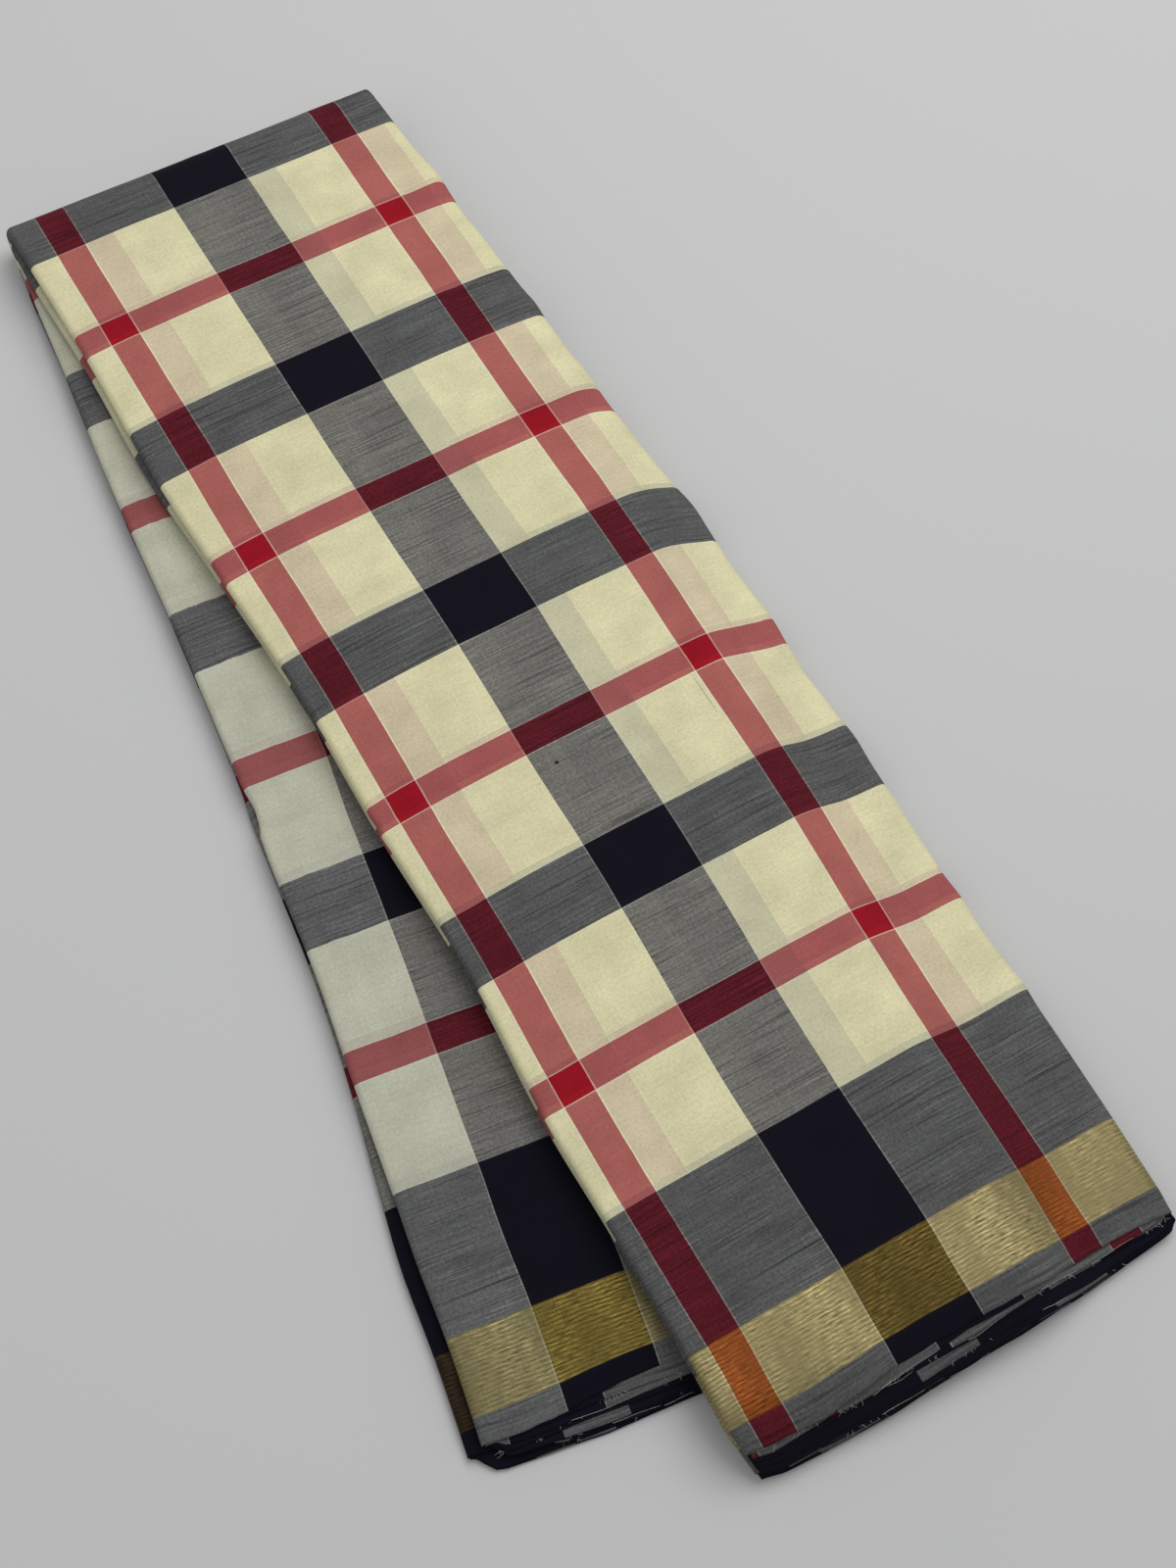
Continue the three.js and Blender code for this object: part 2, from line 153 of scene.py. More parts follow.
UPPER_LEAVES = (
    Leaf(0, 10.0, 11.0, 9.8, 8.5, 4.5),
    Leaf(4, 9.2, 10.4, 9.2, 8.2, 4.8),
    Leaf(10, 8.8, 9.6, 8.8, 7.6, 4.2),
    Leaf(11, 6.5, 8.2, 6.4, 6.8, 3.6),
    Leaf(12, 4.6, 3.4, 3.6, 2.0, 2.4),
    Leaf(13, 3.4, 2.0, 3.4, 0.9, 1.8),
    Leaf(14, 1.2, 3.0, 0.8, 1.6, 0.8),
)
LOWER_LEAVES = (
    Leaf(0, 8.0, 10.5, 10, 10, 9),
    Leaf(3, 8.2, 9.8, 9.8, 9, 8),
    Leaf(7, 7.4, 9.2, 9.0, 8.6, 7.5),
    Leaf(9, 6.2, 8.2, 7.6, 6.4, 5.5),
    Leaf(10, 5.0, 4.6, 6.2, 5.4, 4.4),
    Leaf(11, 2.8, 4.0, 3.0, 4.2, 2.2),
    Leaf(12, 1.4, 0.8, 2.2, 1.0, 1.6),
)
UPPER_SELVEDGE = (0, 1.2, 2.2, 0.9, -0.6, -1.0, -0.8, -0.6, -0.5, -0.9, -1.3, -1.1, 0)
ROUNDED_ROLL = (-1.8,) + (0.0,) * 12  # the lower panel's second roll, rounded at its end
LOWER_SELVEDGE = (0, 0.7, 0.3, -1.6, -2.6, -2.2, -1.7, -1.4, -1.2, -1.0, -0.8, -0.4, 0)


# ---------------------------------------------------------------- small tools


def smoothstep(value: float, start: float, end: float) -> float:
    """A soft step from 0 at start to 1 at end."""
    t = min(max((value - start) / (end - start), 0.0), 1.0)
    return t * t * (3 - 2 * t)


def lerp(a: float, b: float, t: float) -> float:
    """The value at share t of the way from a to b."""
    return a + (b - a) * t


def spaced(start: float, end: float, step: float) -> list[float]:
    """Even values from start to end, both included, about step apart."""
    count = max(1, math.ceil(abs(end - start) / step))
    return [lerp(start, end, i / count) for i in range(count + 1)]


def linear(code: str) -> tuple[float, float, float, float]:
    """The linear colour of an sRGB hex code such as #d8d4a8."""
    parts = [int(code[i : i + 2], 16) / 255 for i in (1, 3, 5)]
    return (*(c / 12.92 if c <= 0.04045 else ((c + 0.055) / 1.055) ** 2.4 for c in parts), 1.0)


def add_node(
    tree: bpy.types.NodeTree, kind: str, sockets: dict | Sequence = (), **settings: object
) -> bpy.types.Node:
    """Adds a node with its settings and links.

    Args:
        tree: the tree that gets the node.
        kind: the node's type name.
        sockets: its inputs in order, or by index or name. Each is a plain value, an output, or a
            node, whose first output in use is linked.
        settings: the node's properties.

    Returns:
        The new node.
    """
    node = tree.nodes.new(kind)
    for name, value in settings.items():
        setattr(node, name, value)
    for key, value in sockets.items() if isinstance(sockets, dict) else enumerate(sockets):
        if isinstance(value, bpy.types.Node):
            value = next(output for output in value.outputs if output.enabled)
        if isinstance(value, bpy.types.NodeSocket):
            tree.links.new(value, node.inputs[key])
        else:
            node.inputs[key].default_value = value
    return node


def new_material(name: str) -> bpy.types.Material:
    """A material with no nodes yet."""
    made = bpy.data.materials.new(name)
    made.use_nodes = True
    made.node_tree.nodes.clear()
    return made


def new_piece(name: str, points: Sequence[Vector], faces: Sequence) -> bpy.types.Object:
    """A smooth piece with points in metres, placed in the scene."""
    mesh = bpy.data.meshes.new(name)
    mesh.from_pydata(points, [], faces)
    mesh.shade_smooth()
    piece = bpy.data.objects.new(name, mesh)
    bpy.context.collection.objects.link(piece)
    return piece


# ---------------------------------------------------------------- the folded form


def sample(rows: Sequence[Row], column: str, along: float) -> float:
    """A smooth value between a table's rows, carried on straight past the last one.

    Args:
        rows: the table.
        column: the name of its column.
        along: distance from the top fold.

    Returns:
        The column's value there.
    """
    last = len(rows) - 1

    def slope(i: int) -> float:
        """The column's slope at a row."""
        a, b = rows[max(i - 1, 0)], rows[min(i + 1, last)]
        return (getattr(b, column) - getattr(a, column)) / (b.along - a.along)

    if along > rows[last].along:
        return getattr(rows[last], column) + slope(last) * (along - rows[last].along)
    row = next((i - 1 for i, r in enumerate(rows) if r.along > along), last - 1)
    start, end = rows[row], rows[row + 1]
    span = end.along - start.along
    t = (along - start.along) / span
    rise = (getattr(end, column) - getattr(start, column)) / span
    line = lerp(getattr(start, column), getattr(end, column), t)
    bend = t * (1 - t) * span
    return line + bend * ((slope(row) - rise) * (1 - t) - (slope(row + 1) - rise) * t)


def plan_point(rows: Sequence[Row], along: float, s: float) -> Vector:
    """Where a point lies on the table, s across from the left roll along the weft."""
    slant = math.radians(sample(rows, "slant", along))
    left = sample(rows, "left", along)
    return Vector((left + s * math.cos(slant), -along - s * math.sin(slant)))


LOWER_TIP = LOWER_ROWS[-1].along + LOWER_LEAVES[0].quarter
LOWER_TOP_RIGHT = plan_point(LOWER_ROWS, 0, LOWER_WIDTH)
LOWER_END_RIGHT = plan_point(LOWER_ROWS, LOWER_TIP, LOWER_WIDTH)
LOWER_END_LEFT = plan_point(LOWER_ROWS, LOWER_TIP, 0)


def beyond(point: Vector, a: Vector, b: Vector) -> float:
    """How far a point lies to the left of the line from a to b."""
    run = (b - a).normalized()
    return run.x * (point.y - a.y) - run.y * (point.x - a.x)


def bed_height(point: Vector) -> float:
    """Height of what lies under the upper panel: the lower one, then a slope to the table."""
    side = beyond(point, LOWER_TOP_RIGHT, LOWER_END_RIGHT)
    selvedge = beyond(point, LOWER_END_RIGHT, LOWER_END_LEFT)
    held = (1 - smoothstep(side, *SIDE_SAG)) * (1 - smoothstep(selvedge, *END_SAG))
    return (LOWER_THICKNESS + GAP) * held


@dataclass(frozen=True)
class Station:
    """One section across a bundle, flat on the table unless a kind of it says otherwise.

    level is a share of the bundle's height, and off a further distance outwards, both in mm.
    """

    width: float
    peek: float
    slip: float
    lift: float
    thickness: float
    along: float
    end: float

    def place(self, s: float, level: float, off: float) -> Vector:
        """The model's point for a section point."""
        raise NotImplementedError

    def woven(self, level: float, off: float) -> float:
        """Distance from the panel's selvedge, measured in the cloth."""
        return self.end - self.along

    @property
    def fold_depth(self) -> float:
        """How far the right fold curves in from the panel's edge."""
        return self.thickness / 2


@dataclass(frozen=True)
class UpperStation(Station):
    """A section of the upper panel, on what lies under it."""

    @classmethod
    def at(cls, along: float) -> "UpperStation":
        """The section at a distance from the top fold."""
        columns = ("width", "peek", "slip", "lift")
        values = (sample(UPPER_ROWS, column, along) for column in columns)
        return cls(*values, UPPER_THICKNESS, along, UPPER_ROWS[-1].along)

    def place(self, s: float, level: float, off: float) -> Vector:
        """The model's point for a section point."""
        plan = plan_point(UPPER_ROWS, self.along, s)
        radius = self.thickness / 4
        share = min(max((s - radius) / (self.width - 3 * radius), 0.0), 1.0)
        crown = 1 - (2 * share - 1) ** CROWN
        height = level * (self.thickness + self.lift * crown) + off
        return Vector((plan.x, plan.y, bed_height(plan) + height))

    @property
    def fold_depth(self) -> float:
        """The right fold is pressed to a sharp corner at the top."""
        sharp, full = EAR
        return lerp(sharp, self.thickness / 2, smoothstep(self.along, 0, full))


@dataclass(frozen=True)
class TurnStation(Station):
    """A section round the top fold, from the upper panel at angle 0 to the lower at pi."""

    angle: float

    @classmethod
    def at(cls, angle: float) -> "TurnStation":
        """The section at an angle round the fold."""
        share = angle / math.pi
        top, foot = UPPER_ROWS[0], LOWER_ROWS[0]
        return cls(
            lerp(top.width, foot.width, share),
            lerp(top.peek, foot.peek, share),
            top.slip,
            0,
            lerp(UPPER_THICKNESS, LOWER_THICKNESS, share),
            0,
            UPPER_ROWS[-1].along,
            angle,
        )

    def place(self, s: float, level: float, off: float) -> Vector:
        """The model's point for a section point."""
        left = lerp(UPPER_ROWS[0].left, LOWER_ROWS[0].left, self.angle / math.pi)
        slant = math.radians(UPPER_ROWS[0].slant)
        radius = GAP / 2 + level * self.thickness + off
        out = FOLD_REACH * radius * math.sin(self.angle)
        return Vector(
            (
                left + s * math.cos(slant) + out * math.sin(slant),
                -s * math.sin(slant) + out * math.cos(slant),
                LOWER_THICKNESS + GAP / 2 + radius * math.cos(self.angle),
            )
        )

    def woven(self, level: float, off: float) -> float:
        """Distance from the upper selvedge, with the way round the fold."""
        return self.end + self.angle * max(GAP / 2 + level * self.thickness + off, 0.0)

    @property
    def fold_depth(self) -> float:
        """The right fold stays sharp round the top fold."""
        return EAR[0]


@dataclass(frozen=True)
class LowerStation(Station):
    """A section of the lower panel. Level 0 is the face on the table."""

    @classmethod
    def at(cls, along: float) -> "LowerStation":
        """The section at a distance from the top fold."""
        peek, slip = (sample(LOWER_ROWS, column, along) for column in ("peek", "slip"))
        return cls(LOWER_WIDTH, peek, slip, 0, LOWER_THICKNESS, along, LOWER_ROWS[-1].along)

    def place(self, s: float, level: float, off: float) -> Vector:
        """The model's point for a section point."""
        plan = plan_point(LOWER_ROWS, self.along, s)
        return Vector((plan.x, plan.y, level * self.thickness + off))


class SectionPoint(NamedTuple):
    """A point of a section: where it is, which way its cloth faces, and how far along the cloth.

    run is 0 at the leftmost point of the roll, and counts in the direction of the panel's width.
    """

    s: float
    level: float
    off: float
    out_s: float
    out_off: float
    run: float


ROLL_PARTS = 12  # faces round a side roll
FOLD_PARTS = 14  # faces round the right fold
FLAT_PARTS = 58  # faces across the panel


def with_runs(points: list[tuple[float, float, float, float, float]], station: Station) -> list:
    """Section points with their distance along the cloth, from the leftmost one."""
    flat = [Vector((s, level * station.thickness + off)) for s, level, off, _, _ in points]
    runs = [0.0]
    for a, b in zip(flat, flat[1:]):
        runs.append(runs[-1] + (b - a).length)
    start = runs[min(range(len(flat)), key=lambda i: flat[i].x)]
    return [SectionPoint(*point, run - start) for point, run in zip(points, runs)]


def roll_arc(station: Station, level: float, shift: float) -> list:
    """A half circle round the left end of a roll, from its underside to its top."""
    radius = station.thickness / 4 - GAP / 4
    centre = math.copysign(GAP / 4, level - 0.5)
    arc = []
    for i in range(ROLL_PARTS + 1):
        angle = -math.pi / 2 + math.pi * i / ROLL_PARTS
        c, s = math.cos(angle), math.sin(angle)
        arc.append((radius - shift - radius * c, level, centre + radius * s, -c, s))
    return arc


def flat_run(station: Station, level: float) -> list:
    """Points across the flat of a panel, from left to right, both ends left out."""
    radius, up = station.thickness / 4, 2 * level - 1
    ends = (radius, station.width - 2 * radius)
    shares = [i / FLAT_PARTS for i in range(1, FLAT_PARTS)]
    return [(lerp(*ends, share), level, 0.0, 0.0, up) for share in shares]


def front_section(station: Station) -> list[SectionPoint]:
    """The front stretch: out of the bundle, round the first roll, across and round the fold."""
    radius, depth = station.thickness / 2, station.fold_depth
    tuck = [(s, 0.5, GAP / 2, 0.0, -1.0) for s in spaced(ROLL_TUCK, TUCK_START, STEP)]
    fold = []
    for i in range(FOLD_PARTS + 1):
        angle = math.pi / 2 - math.pi * i / FOLD_PARTS
        c, s = math.cos(angle), math.sin(angle)
        fold.append((station.width - depth + depth * c, 0.5, radius * s, c, s))
    under = [
        (s, 0.0, 0.0, 0.0, -1.0)
        for s in spaced(station.width - radius - 2, station.width - FOLD_TUCK, STEP)
    ]
    points = tuck + roll_arc(station, 0.75, 0) + flat_run(station, 1) + fold + under
    return with_runs(points, station)


def second_section(station: Station) -> list[SectionPoint]:
    """The second stretch: out of the bundle, round the second roll and along underneath."""
    tuck = [(s, 0.5, -GAP / 2, 0.0, 1.0) for s in spaced(ROLL_TUCK, TUCK_START, STEP)]
    arc = roll_arc(station, 0.25, station.peek)[::-1]
    edge = station.width - FOLD_TUCK - GAP
    under = [p for p in flat_run(station, 0) if p[0] < edge - 1] + [(edge, 0.0, 0.0, 0.0, -1.0)]
    return with_runs(tuck + arc + under, station)


# ---------------------------------------------------------------- creases


class Crease(NamedTuple):
    """A soft ridge, or a trough where its height is negative, from one point of a cloth to another.

    Each point is a run across the cloth and a distance along the panel. It fades at both ends.
    """

    run: float
    along: float
    to_run: float
    to_along: float
    half_width: float
    height: float


CREASE_PAST = 0.1  # a crease ends this share of its length past its two points
CREASE_FULL = 0.25  # and is at its full height this share inside them
SWELL_SIZE = (46, 75)  # across and along the panel
RIPPLE_SIZE = (7, 130)


def crease_height(crease: Crease, run: float, along: float) -> float:
    """How much a crease raises the cloth at a point.

    Args:
        crease: the crease.
        run: the point's run across the cloth.
        along: its distance along the panel.

    Returns:
        The height, which is negative in a trough.
    """
    start = Vector((crease.run, crease.along))
    way = Vector((crease.to_run, crease.to_along)) - start
    point = Vector((run, along)) - start
    share = point.dot(way) / way.length_squared
    if not -CREASE_PAST < share < 1 + CREASE_PAST:
        return 0.0
    aside = abs(point.x * way.y - point.y * way.x) / way.length
    if aside > 3 * crease.half_width:
        return 0.0
    start_fade = smoothstep(share, -CREASE_PAST, CREASE_FULL)
    fade = start_fade * (1 - smoothstep(share, 1 - CREASE_FULL, 1 + CREASE_PAST))
    return crease.height * fade * math.exp(-((aside / crease.half_width) ** 2))


@dataclass(frozen=True)
class Relief:
    """The small shape of one stretch of cloth."""

    creases: tuple[Crease, ...]
    swell: float = 0.45  # height of the broad, soft unevenness
    ripple: float = 0.1  # height of the narrow ripples that run along the panel
    seed: float = 0.0

    def at(self, run: float, along: float) -> float:
        """How far the cloth stands out from its solid's form."""
        broad = noise.noise(Vector((run / SWELL_SIZE[0], along / SWELL_SIZE[1], self.seed)))
        fine = noise.noise(Vector((run / RIPPLE_SIZE[0], along / RIPPLE_SIZE[1], self.seed + 7)))
        folds = sum(crease_height(c, run, along) for c in self.creases)
        return self.swell * broad + self.ripple * fine + folds


def in_rows(*rows: tuple[float, ...]) -> tuple[Crease, ...]:
    """Creases from rows of a table, in the order of their fields."""
    return tuple(Crease(*row) for row in rows)


UPPER_FRONT_CREASES = in_rows(
    (4, 470, 44, 462, 3.2, 0.5),
    (2, 484, 52, 474, 3.6, 0.65),
    (3, 497, 38, 490, 3.0, 0.5),
    (6, 509, 46, 500, 3.4, 0.45),
    (120, 498, 172, 486, 4.0, 0.4),
    (40, 182, 92, 171, 4.5, 0.35),
    (128, 228, 178, 216, 4.5, 0.5),
    (10, 300, 48, 291, 4.0, 0.4),
    (96, 372, 150, 360, 5.0, 0.35),
    (-4, 307, 38, 311, 2.2, 0.65),
    (-2, 313, 32, 315, 2.6, -0.35),
    (-4, 318, 36, 320, 2.2, 0.7),
    (22, 60, 26, 190, 4.0, 0.3),
    (150, 70, 154, 210, 3.5, -0.35),
    (15, 330, 13, 450, 3.5, -0.3),
    (60, 392, 66, 540, 6.0, 0.3),
    (156, 300, 160, 420, 4.0, -0.35),
    # puckers of the right fold
    (162, 53, 196, 50, 11, 1.3),
    (160, 78, 194, 77, 6, -0.5),
    (164, 133, 196, 131, 7, 0.8),
    (164, 174, 196, 172, 8, 0.9),
    (162, 246, 198, 243, 11, 1.4),
    (162, 273, 198, 271, 7, -0.5),
    (162, 306, 198, 303, 11, 1.2),
    (164, 333, 198, 331, 7, -0.5),
    (164, 365, 198, 362, 10, 1.0),
    (166, 441, 198, 439, 8, 0.9),
    (166, 480, 198, 479, 6, 0.7),
)
LOWER_FRONT_CREASES = in_rows(
    (8, 60, 10, 205, 2.2, 0.7),
    (15, 92, 18, 262, 2.4, 0.8),
    (24, 120, 25, 250, 2.6, 0.6),
    (12, 300, 14, 372, 2.2, 0.7),
    (21, 292, 20, 402, 2.4, -0.6),
    (31, 300, 34, 430, 2.8, 0.55),
    (42, 360, 47, 470, 3.2, 0.5),
    (6, 384, 9, 500, 2.4, 0.5),
    (0, 276, 20, 284, 3.0, -0.9),
    (-2, 289, 17, 297, 2.6, 0.9),
    (2, 305, 26, 309, 3.2, -0.4),
    (5, 446, 40, 440, 3.5, 0.4),
    (4, 470, 34, 463, 3.2, 0.35),
)
UNDERSIDE_CREASES = in_rows(
    (30, 40, 44, 210, 5.0, -0.3),
    (84, 120, 80, 330, 6.0, -0.35),
    (120, 60, 131, 240, 5.0, -0.3),
    (58, 330, 52, 470, 5.0, -0.3),
    (20, 380, 90, 366, 4.0, -0.25),
)


# ---------------------------------------------------------------- the woven check

MATH = "ShaderNodeMath"
VECTOR = "ShaderNodeVectorMath"
MIX = "ShaderNodeMix"
RANGE = "ShaderNodeMapRange"
NOISE = "ShaderNodeTexNoise"
SHADER = "ShaderNodeBsdfPrincipled"
OUTPUT = "ShaderNodeOutputMaterial"
WAVE_TURN = 20.0  # a wave texture of scale 1 turns by this many radians in each unit
CLOTH_MAP = "ClothMap"  # u: run across, v: distance from the selvedge, in mm


class Yarn(Enum):
    """A dyed yarn, as the masks (navy, red, gold, pale) that a stripe of it sets."""

    CREAM = (0.0, 0.0, 0.0, 0.0)
    NAVY = (1.0, 0.0, 0.0, 0.0)
    RED = (0.0, 1.0, 0.0, 0.0)
    GOLD = (0.0, 0.0, 1.0, 0.0)
    PALE = (0.0, 0.0, 0.0, 1.0)  # doubled ends that edge a red stripe as a thin light line
    FAINT = (0.0, 0.0, 0.0, 0.35)  # the same beside a navy stripe


class Stripe(NamedTuple):
    """One stripe of a striped set of yarns, and its width in mm."""

    yarn: Yarn
    width: float


PALE_EDGE = Stripe(Yarn.PALE, 0.55)
FAINT_EDGE = Stripe(Yarn.FAINT, 0.45)
RED_LINES = (PALE_EDGE, Stripe(Yarn.RED, 12), PALE_EDGE)
WARP_BORDER = (Stripe(Yarn.NAVY, 9), Stripe(Yarn.GOLD, 27), Stripe(Yarn.NAVY, 53))
WARP_REPEAT = (
    Stripe(Yarn.CREAM, 41.05),
    *RED_LINES,
    Stripe(Yarn.CREAM, 40.6),
    FAINT_EDGE,
    Stripe(Yarn.NAVY, 28),
)
WEFT_REPEAT = (
    FAINT_EDGE,
    Stripe(Yarn.NAVY, 34),
    FAINT_EDGE,
    Stripe(Yarn.CREAM, 39.05),
    *RED_LINES,
    Stripe(Yarn.CREAM, 40.2),
)
END_REPEAT = (  # the plain end of the saree, which lies inside the bundle
    Stripe(Yarn.NAVY, 142),
    Stripe(Yarn.CREAM, 24),
    Stripe(Yarn.NAVY, 96),
    Stripe(Yarn.CREAM, 15),
)


def width_of(stripes: Sequence[Stripe]) -> float:
    """The width of a set of stripes, in mm."""
    return sum(stripe.width for stripe in stripes)


LOOM_WIDTH = 2 * (width_of(WARP_BORDER) + 4 * width_of(WARP_REPEAT) - WARP_REPEAT[-1].width / 2)


class Streak(NamedTuple):
    """The size of unevenness drawn out along one set of yarns, in mm.

    Yarns are 0.3 mm apart, and a streak is a few of them, so it is coarse enough to show.
    """

    across_run: float
    along_panel: float


class Flaw(NamedTuple):
    """A small dark mark in the cloth: its middle and half sizes on the cloth's map, and depth."""

    run: float
    woven: float
    half_run: float
    half_woven: float
    depth: float


OIL_SPECK = Flaw(136.1, 246.0, 0.95, 0.85, 0.9)
PULLED_THREAD = Flaw(199.6, 244.2, 0.3, 11.0, 0.4)
FLAW_CORE = 0.6  # share of a mark that is as dark as its middle


@dataclass(frozen=True)
class CheckedCloth:
    """Handloom cotton-silk in plain weave, with a border of gold zari.

    Dyed cream, navy and red yarns cross, so each check is an even mix of its two yarns: cream and
    navy give the eye a grey with dark and light slubs that streak across the panel, cream and red
    a dusty pink. The zari is flat metal thread over a core: it looks dull khaki, with short bright
    dashes in patches, which are painted highlight where it turns to the light. The cloth is thin,
    so the stripes of the ply below show through the pale checks as a cool shade.

    A swing is how far a tone goes lighter and darker, in checks of one yarn and of navy with another.
    """

    name: str
    weft: tuple[Stripe, ...]
    under_weft: tuple[Stripe, ...]  # of the ply below
    under_shift: tuple[float, float] = (-13.0, -2.6)  # how far that ply lies aside, in mm
    under_show: float = 0.32
    under_show_in_grey: float = 0.16
    under_show_in_zari: float = 0.08
    under_tint: tuple[float, float, float] = (0.0, 0.05, 0.2)  # how much cooler it shows
    cream: str = "#dad4ae"
    grey_along: str = "#72706a"  # navy weft on cream warp
    grey_across: str = "#5b5b5a"  # navy warp on cream weft
    navy: str = "#12101c"
    pink: str = "#ab625d"
    maroon: str = "#5a1823"
    red: str = "#9d1423"
    gold_on_cream: str = "#90845c"
    gold_on_navy: str = "#58491f"
    gold_on_red: str = "#88491f"
    pale_thread: str = "#e9e6cf"
    pale_share: float = 0.4
    dull_share: float = 0.14  # of the same line where it crosses navy or zari
    waver: float = 0.4  # how far a stripe's edge strays, in mm
    waver_scale: float = 0.03  # noise scales are waves in each mm
    fine_slub: Streak = Streak(34.0, 0.7)
    fine_swing: tuple[float, float] = (0.03, 0.32)
    broad_slub: Streak = Streak(70.0, 1.7)
    broad_swing: tuple[float, float] = (0.02, 0.2)
    weft_slub: Streak = Streak(0.6, 20.0)
    weft_swing: tuple[float, float] = (0.02, 0.1)
    grain_scale: float = 0.9
    grain_swing: tuple[float, float] = (0.24, 0.6)
    # Partly painted shade: soft blotches of tone, random mottling and the shade of small puckers.
    mottle_and_shade_scale: float = 0.06
    mottle_and_shade_swing: float = 0.22
    patch_scale: float = 0.045  # of the patches where the fine slubs gather
    # Each range is the noise it starts and ends at, then the value at either end.
    patch_range: tuple[float, float, float, float] = (0.38, 0.62, 0.35, 1.6)
    dark_ends: tuple[float, float, float, float] = (0.7, 0.8, 0.0, 0.45)
    # Painted highlight: the zari's dashes and bright patches stand for the glints of its metal, over its
    # real ribs.
    zari_dash: Streak = Streak(4.0, 0.5)
    zari_highlight_patch: Streak = Streak(22.0, 60.0)
    zari_highlight_patch_range: tuple[float, float, float, float] = (0.25, 0.8, 0.18, 0.75)
    zari_highlight_lift: tuple[float, float] = (0.8, 1.12)  # its tone where it is dull and where bright
    zari_over_navy: float = 0.3  # how much more it swings there
    zari_rib: float = 1.5  # distance between the ribs of the zari, in mm
    rib_share: float = 0.45  # of the dashes' swing
    metal: float = 0.4
    roughness: tuple[float, float] = (0.82, 0.48)  # of the yarn and of the zari
    thread_height: float = 0.25
    flaws: tuple[Flaw, ...] = ()

    def stripes(self, tree: bpy.types.NodeTree, at: object, stripes: Sequence[Stripe]) -> bpy.types.Node:
        """Lays a set of stripes that repeats along a distance.

        Args:
            tree: the tree to add to.
            at: the distance, in mm.
            stripes: the set that repeats.

        Returns:
            A node whose colour and alpha are the yarn masks there.
        """
        total = width_of(stripes)
        turns = add_node(tree, MATH, (at, total), operation="DIVIDE")
        share = add_node(tree, MATH, (turns,), operation="FRACT")
        ramp = add_node(tree, "ShaderNodeValToRGB", (share,))
        ramp.color_ramp.interpolation = "CONSTANT"
        marks = ramp.color_ramp.elements
        marks.remove(marks[1])
        start = 0.0
        for stripe in stripes:
            mark = marks[0] if start == 0.0 else marks.new(start / total)
            mark.position, mark.color = start / total, stripe.yarn.value
            start += stripe.width
        return ramp

    def crossings(self, weft_stripes: Sequence[Stripe]) -> bpy.types.NodeTree:
        """The group that turns a place in a cloth, in mm, into its woven colour.

        Args:
            weft_stripes: the cloth's weft.

        Returns:
            The group. Mixed is 1 where navy crosses another yarn, and Gold and Deep are 1 where
            the warp is zari and where the weft is navy.
        """
        tree = bpy.data.node_groups.new(self.name + "_crossings", "ShaderNodeTree")
        inputs = [(name, "INPUT", "Float") for name in ("Run", "Woven")]
        outputs = [(name, "OUTPUT", "Float") for name in ("Mixed", "Gold", "Deep")]
        for name, way, kind in (*inputs, ("Color", "OUTPUT", "Color"), *outputs):
            tree.interface.new_socket(name, in_out=way, socket_type="NodeSocket" + kind)
        add = partial(add_node, tree)
        inside = add("NodeGroupInput")

        # The warp is the same from both selvedges: fold the distance at the loom's middle.
        woven = inside.outputs["Woven"]
        far = add(MATH, (LOOM_WIDTH, woven), operation="SUBTRACT")
        near = add(MATH, (woven, far), operation="MINIMUM")
        past = add(MATH, (near, width_of(WARP_BORDER)), operation="SUBTRACT")
        in_field = add(MATH, (past, 0.0), operation="GREATER_THAN")
        border = self.stripes(tree, near, WARP_BORDER)
        field = self.stripes(tree, past, WARP_REPEAT)
        warp = add(MIX, {0: in_field, 6: border, 7: field}, data_type="RGBA")
        weft = self.stripes(tree, inside.outputs["Run"], weft_stripes)
        warp_masks = add("ShaderNodeSeparateColor", (warp,))
        weft_masks = add("ShaderNodeSeparateColor", (weft,))

        def pick(choices: Sequence[object], masks: bpy.types.Node) -> object:
            """The first choice, or the one after it whose mask is set."""
            chosen = choices[0]
            for choice, mask in zip(choices[1:], masks.outputs):
                chosen = add(MIX, {0: mask, 6: chosen, 7: choice}, data_type="RGBA")
            return chosen

        over_cream = (self.cream, self.grey_across, self.pink, self.gold_on_cream)
        over_navy = (self.grey_along, self.navy, self.maroon, self.gold_on_navy)
        over_red = (self.pink, self.maroon, self.red, self.gold_on_red)
        rows = (over_cream, over_navy, over_red)
        colour = pick([pick([linear(code) for code in row], warp_masks) for row in rows], weft_masks)

        # Doubled pale ends edge the stripes, and are duller where they cross navy or zari.
        gold, deep = warp_masks.outputs[2], weft_masks.outputs[0]
        navies = (warp_masks.outputs[0], deep)
        warp_line = add(MATH, (field.outputs["Alpha"], in_field), operation="MULTIPLY")
        line = add(MATH, (weft.outputs["Alpha"], warp_line), operation="MAXIMUM")
        full = add(MATH, (line, self.pale_share), operation="MULTIPLY")
        any_navy = add(MATH, navies, operation="MAXIMUM")
        is_dull = add(MATH, (any_navy, gold), operation="MAXIMUM")
        most = add(RANGE, (is_dull, 0, 1, self.pale_share, self.dull_share))
        pale = add(MATH, (full, most), operation="MINIMUM")
        lined = add(MIX, {0: pale, 6: colour, 7: linear(self.pale_thread)}, data_type="RGBA")
        difference = add(MATH, navies, operation="SUBTRACT")
        unlike = add(MATH, (difference,), operation="ABSOLUTE")
        add("NodeGroupOutput", (lined, unlike, gold, deep))
        return tree

    def material(self) -> bpy.types.Material:
        """The material, which reads the cloth's own map: run across, woven from the selvedge."""
        made = new_material(self.name)
        tree = made.node_tree
        add = partial(add_node, tree)
        place = add("ShaderNodeUVMap", uv_map=CLOTH_MAP)

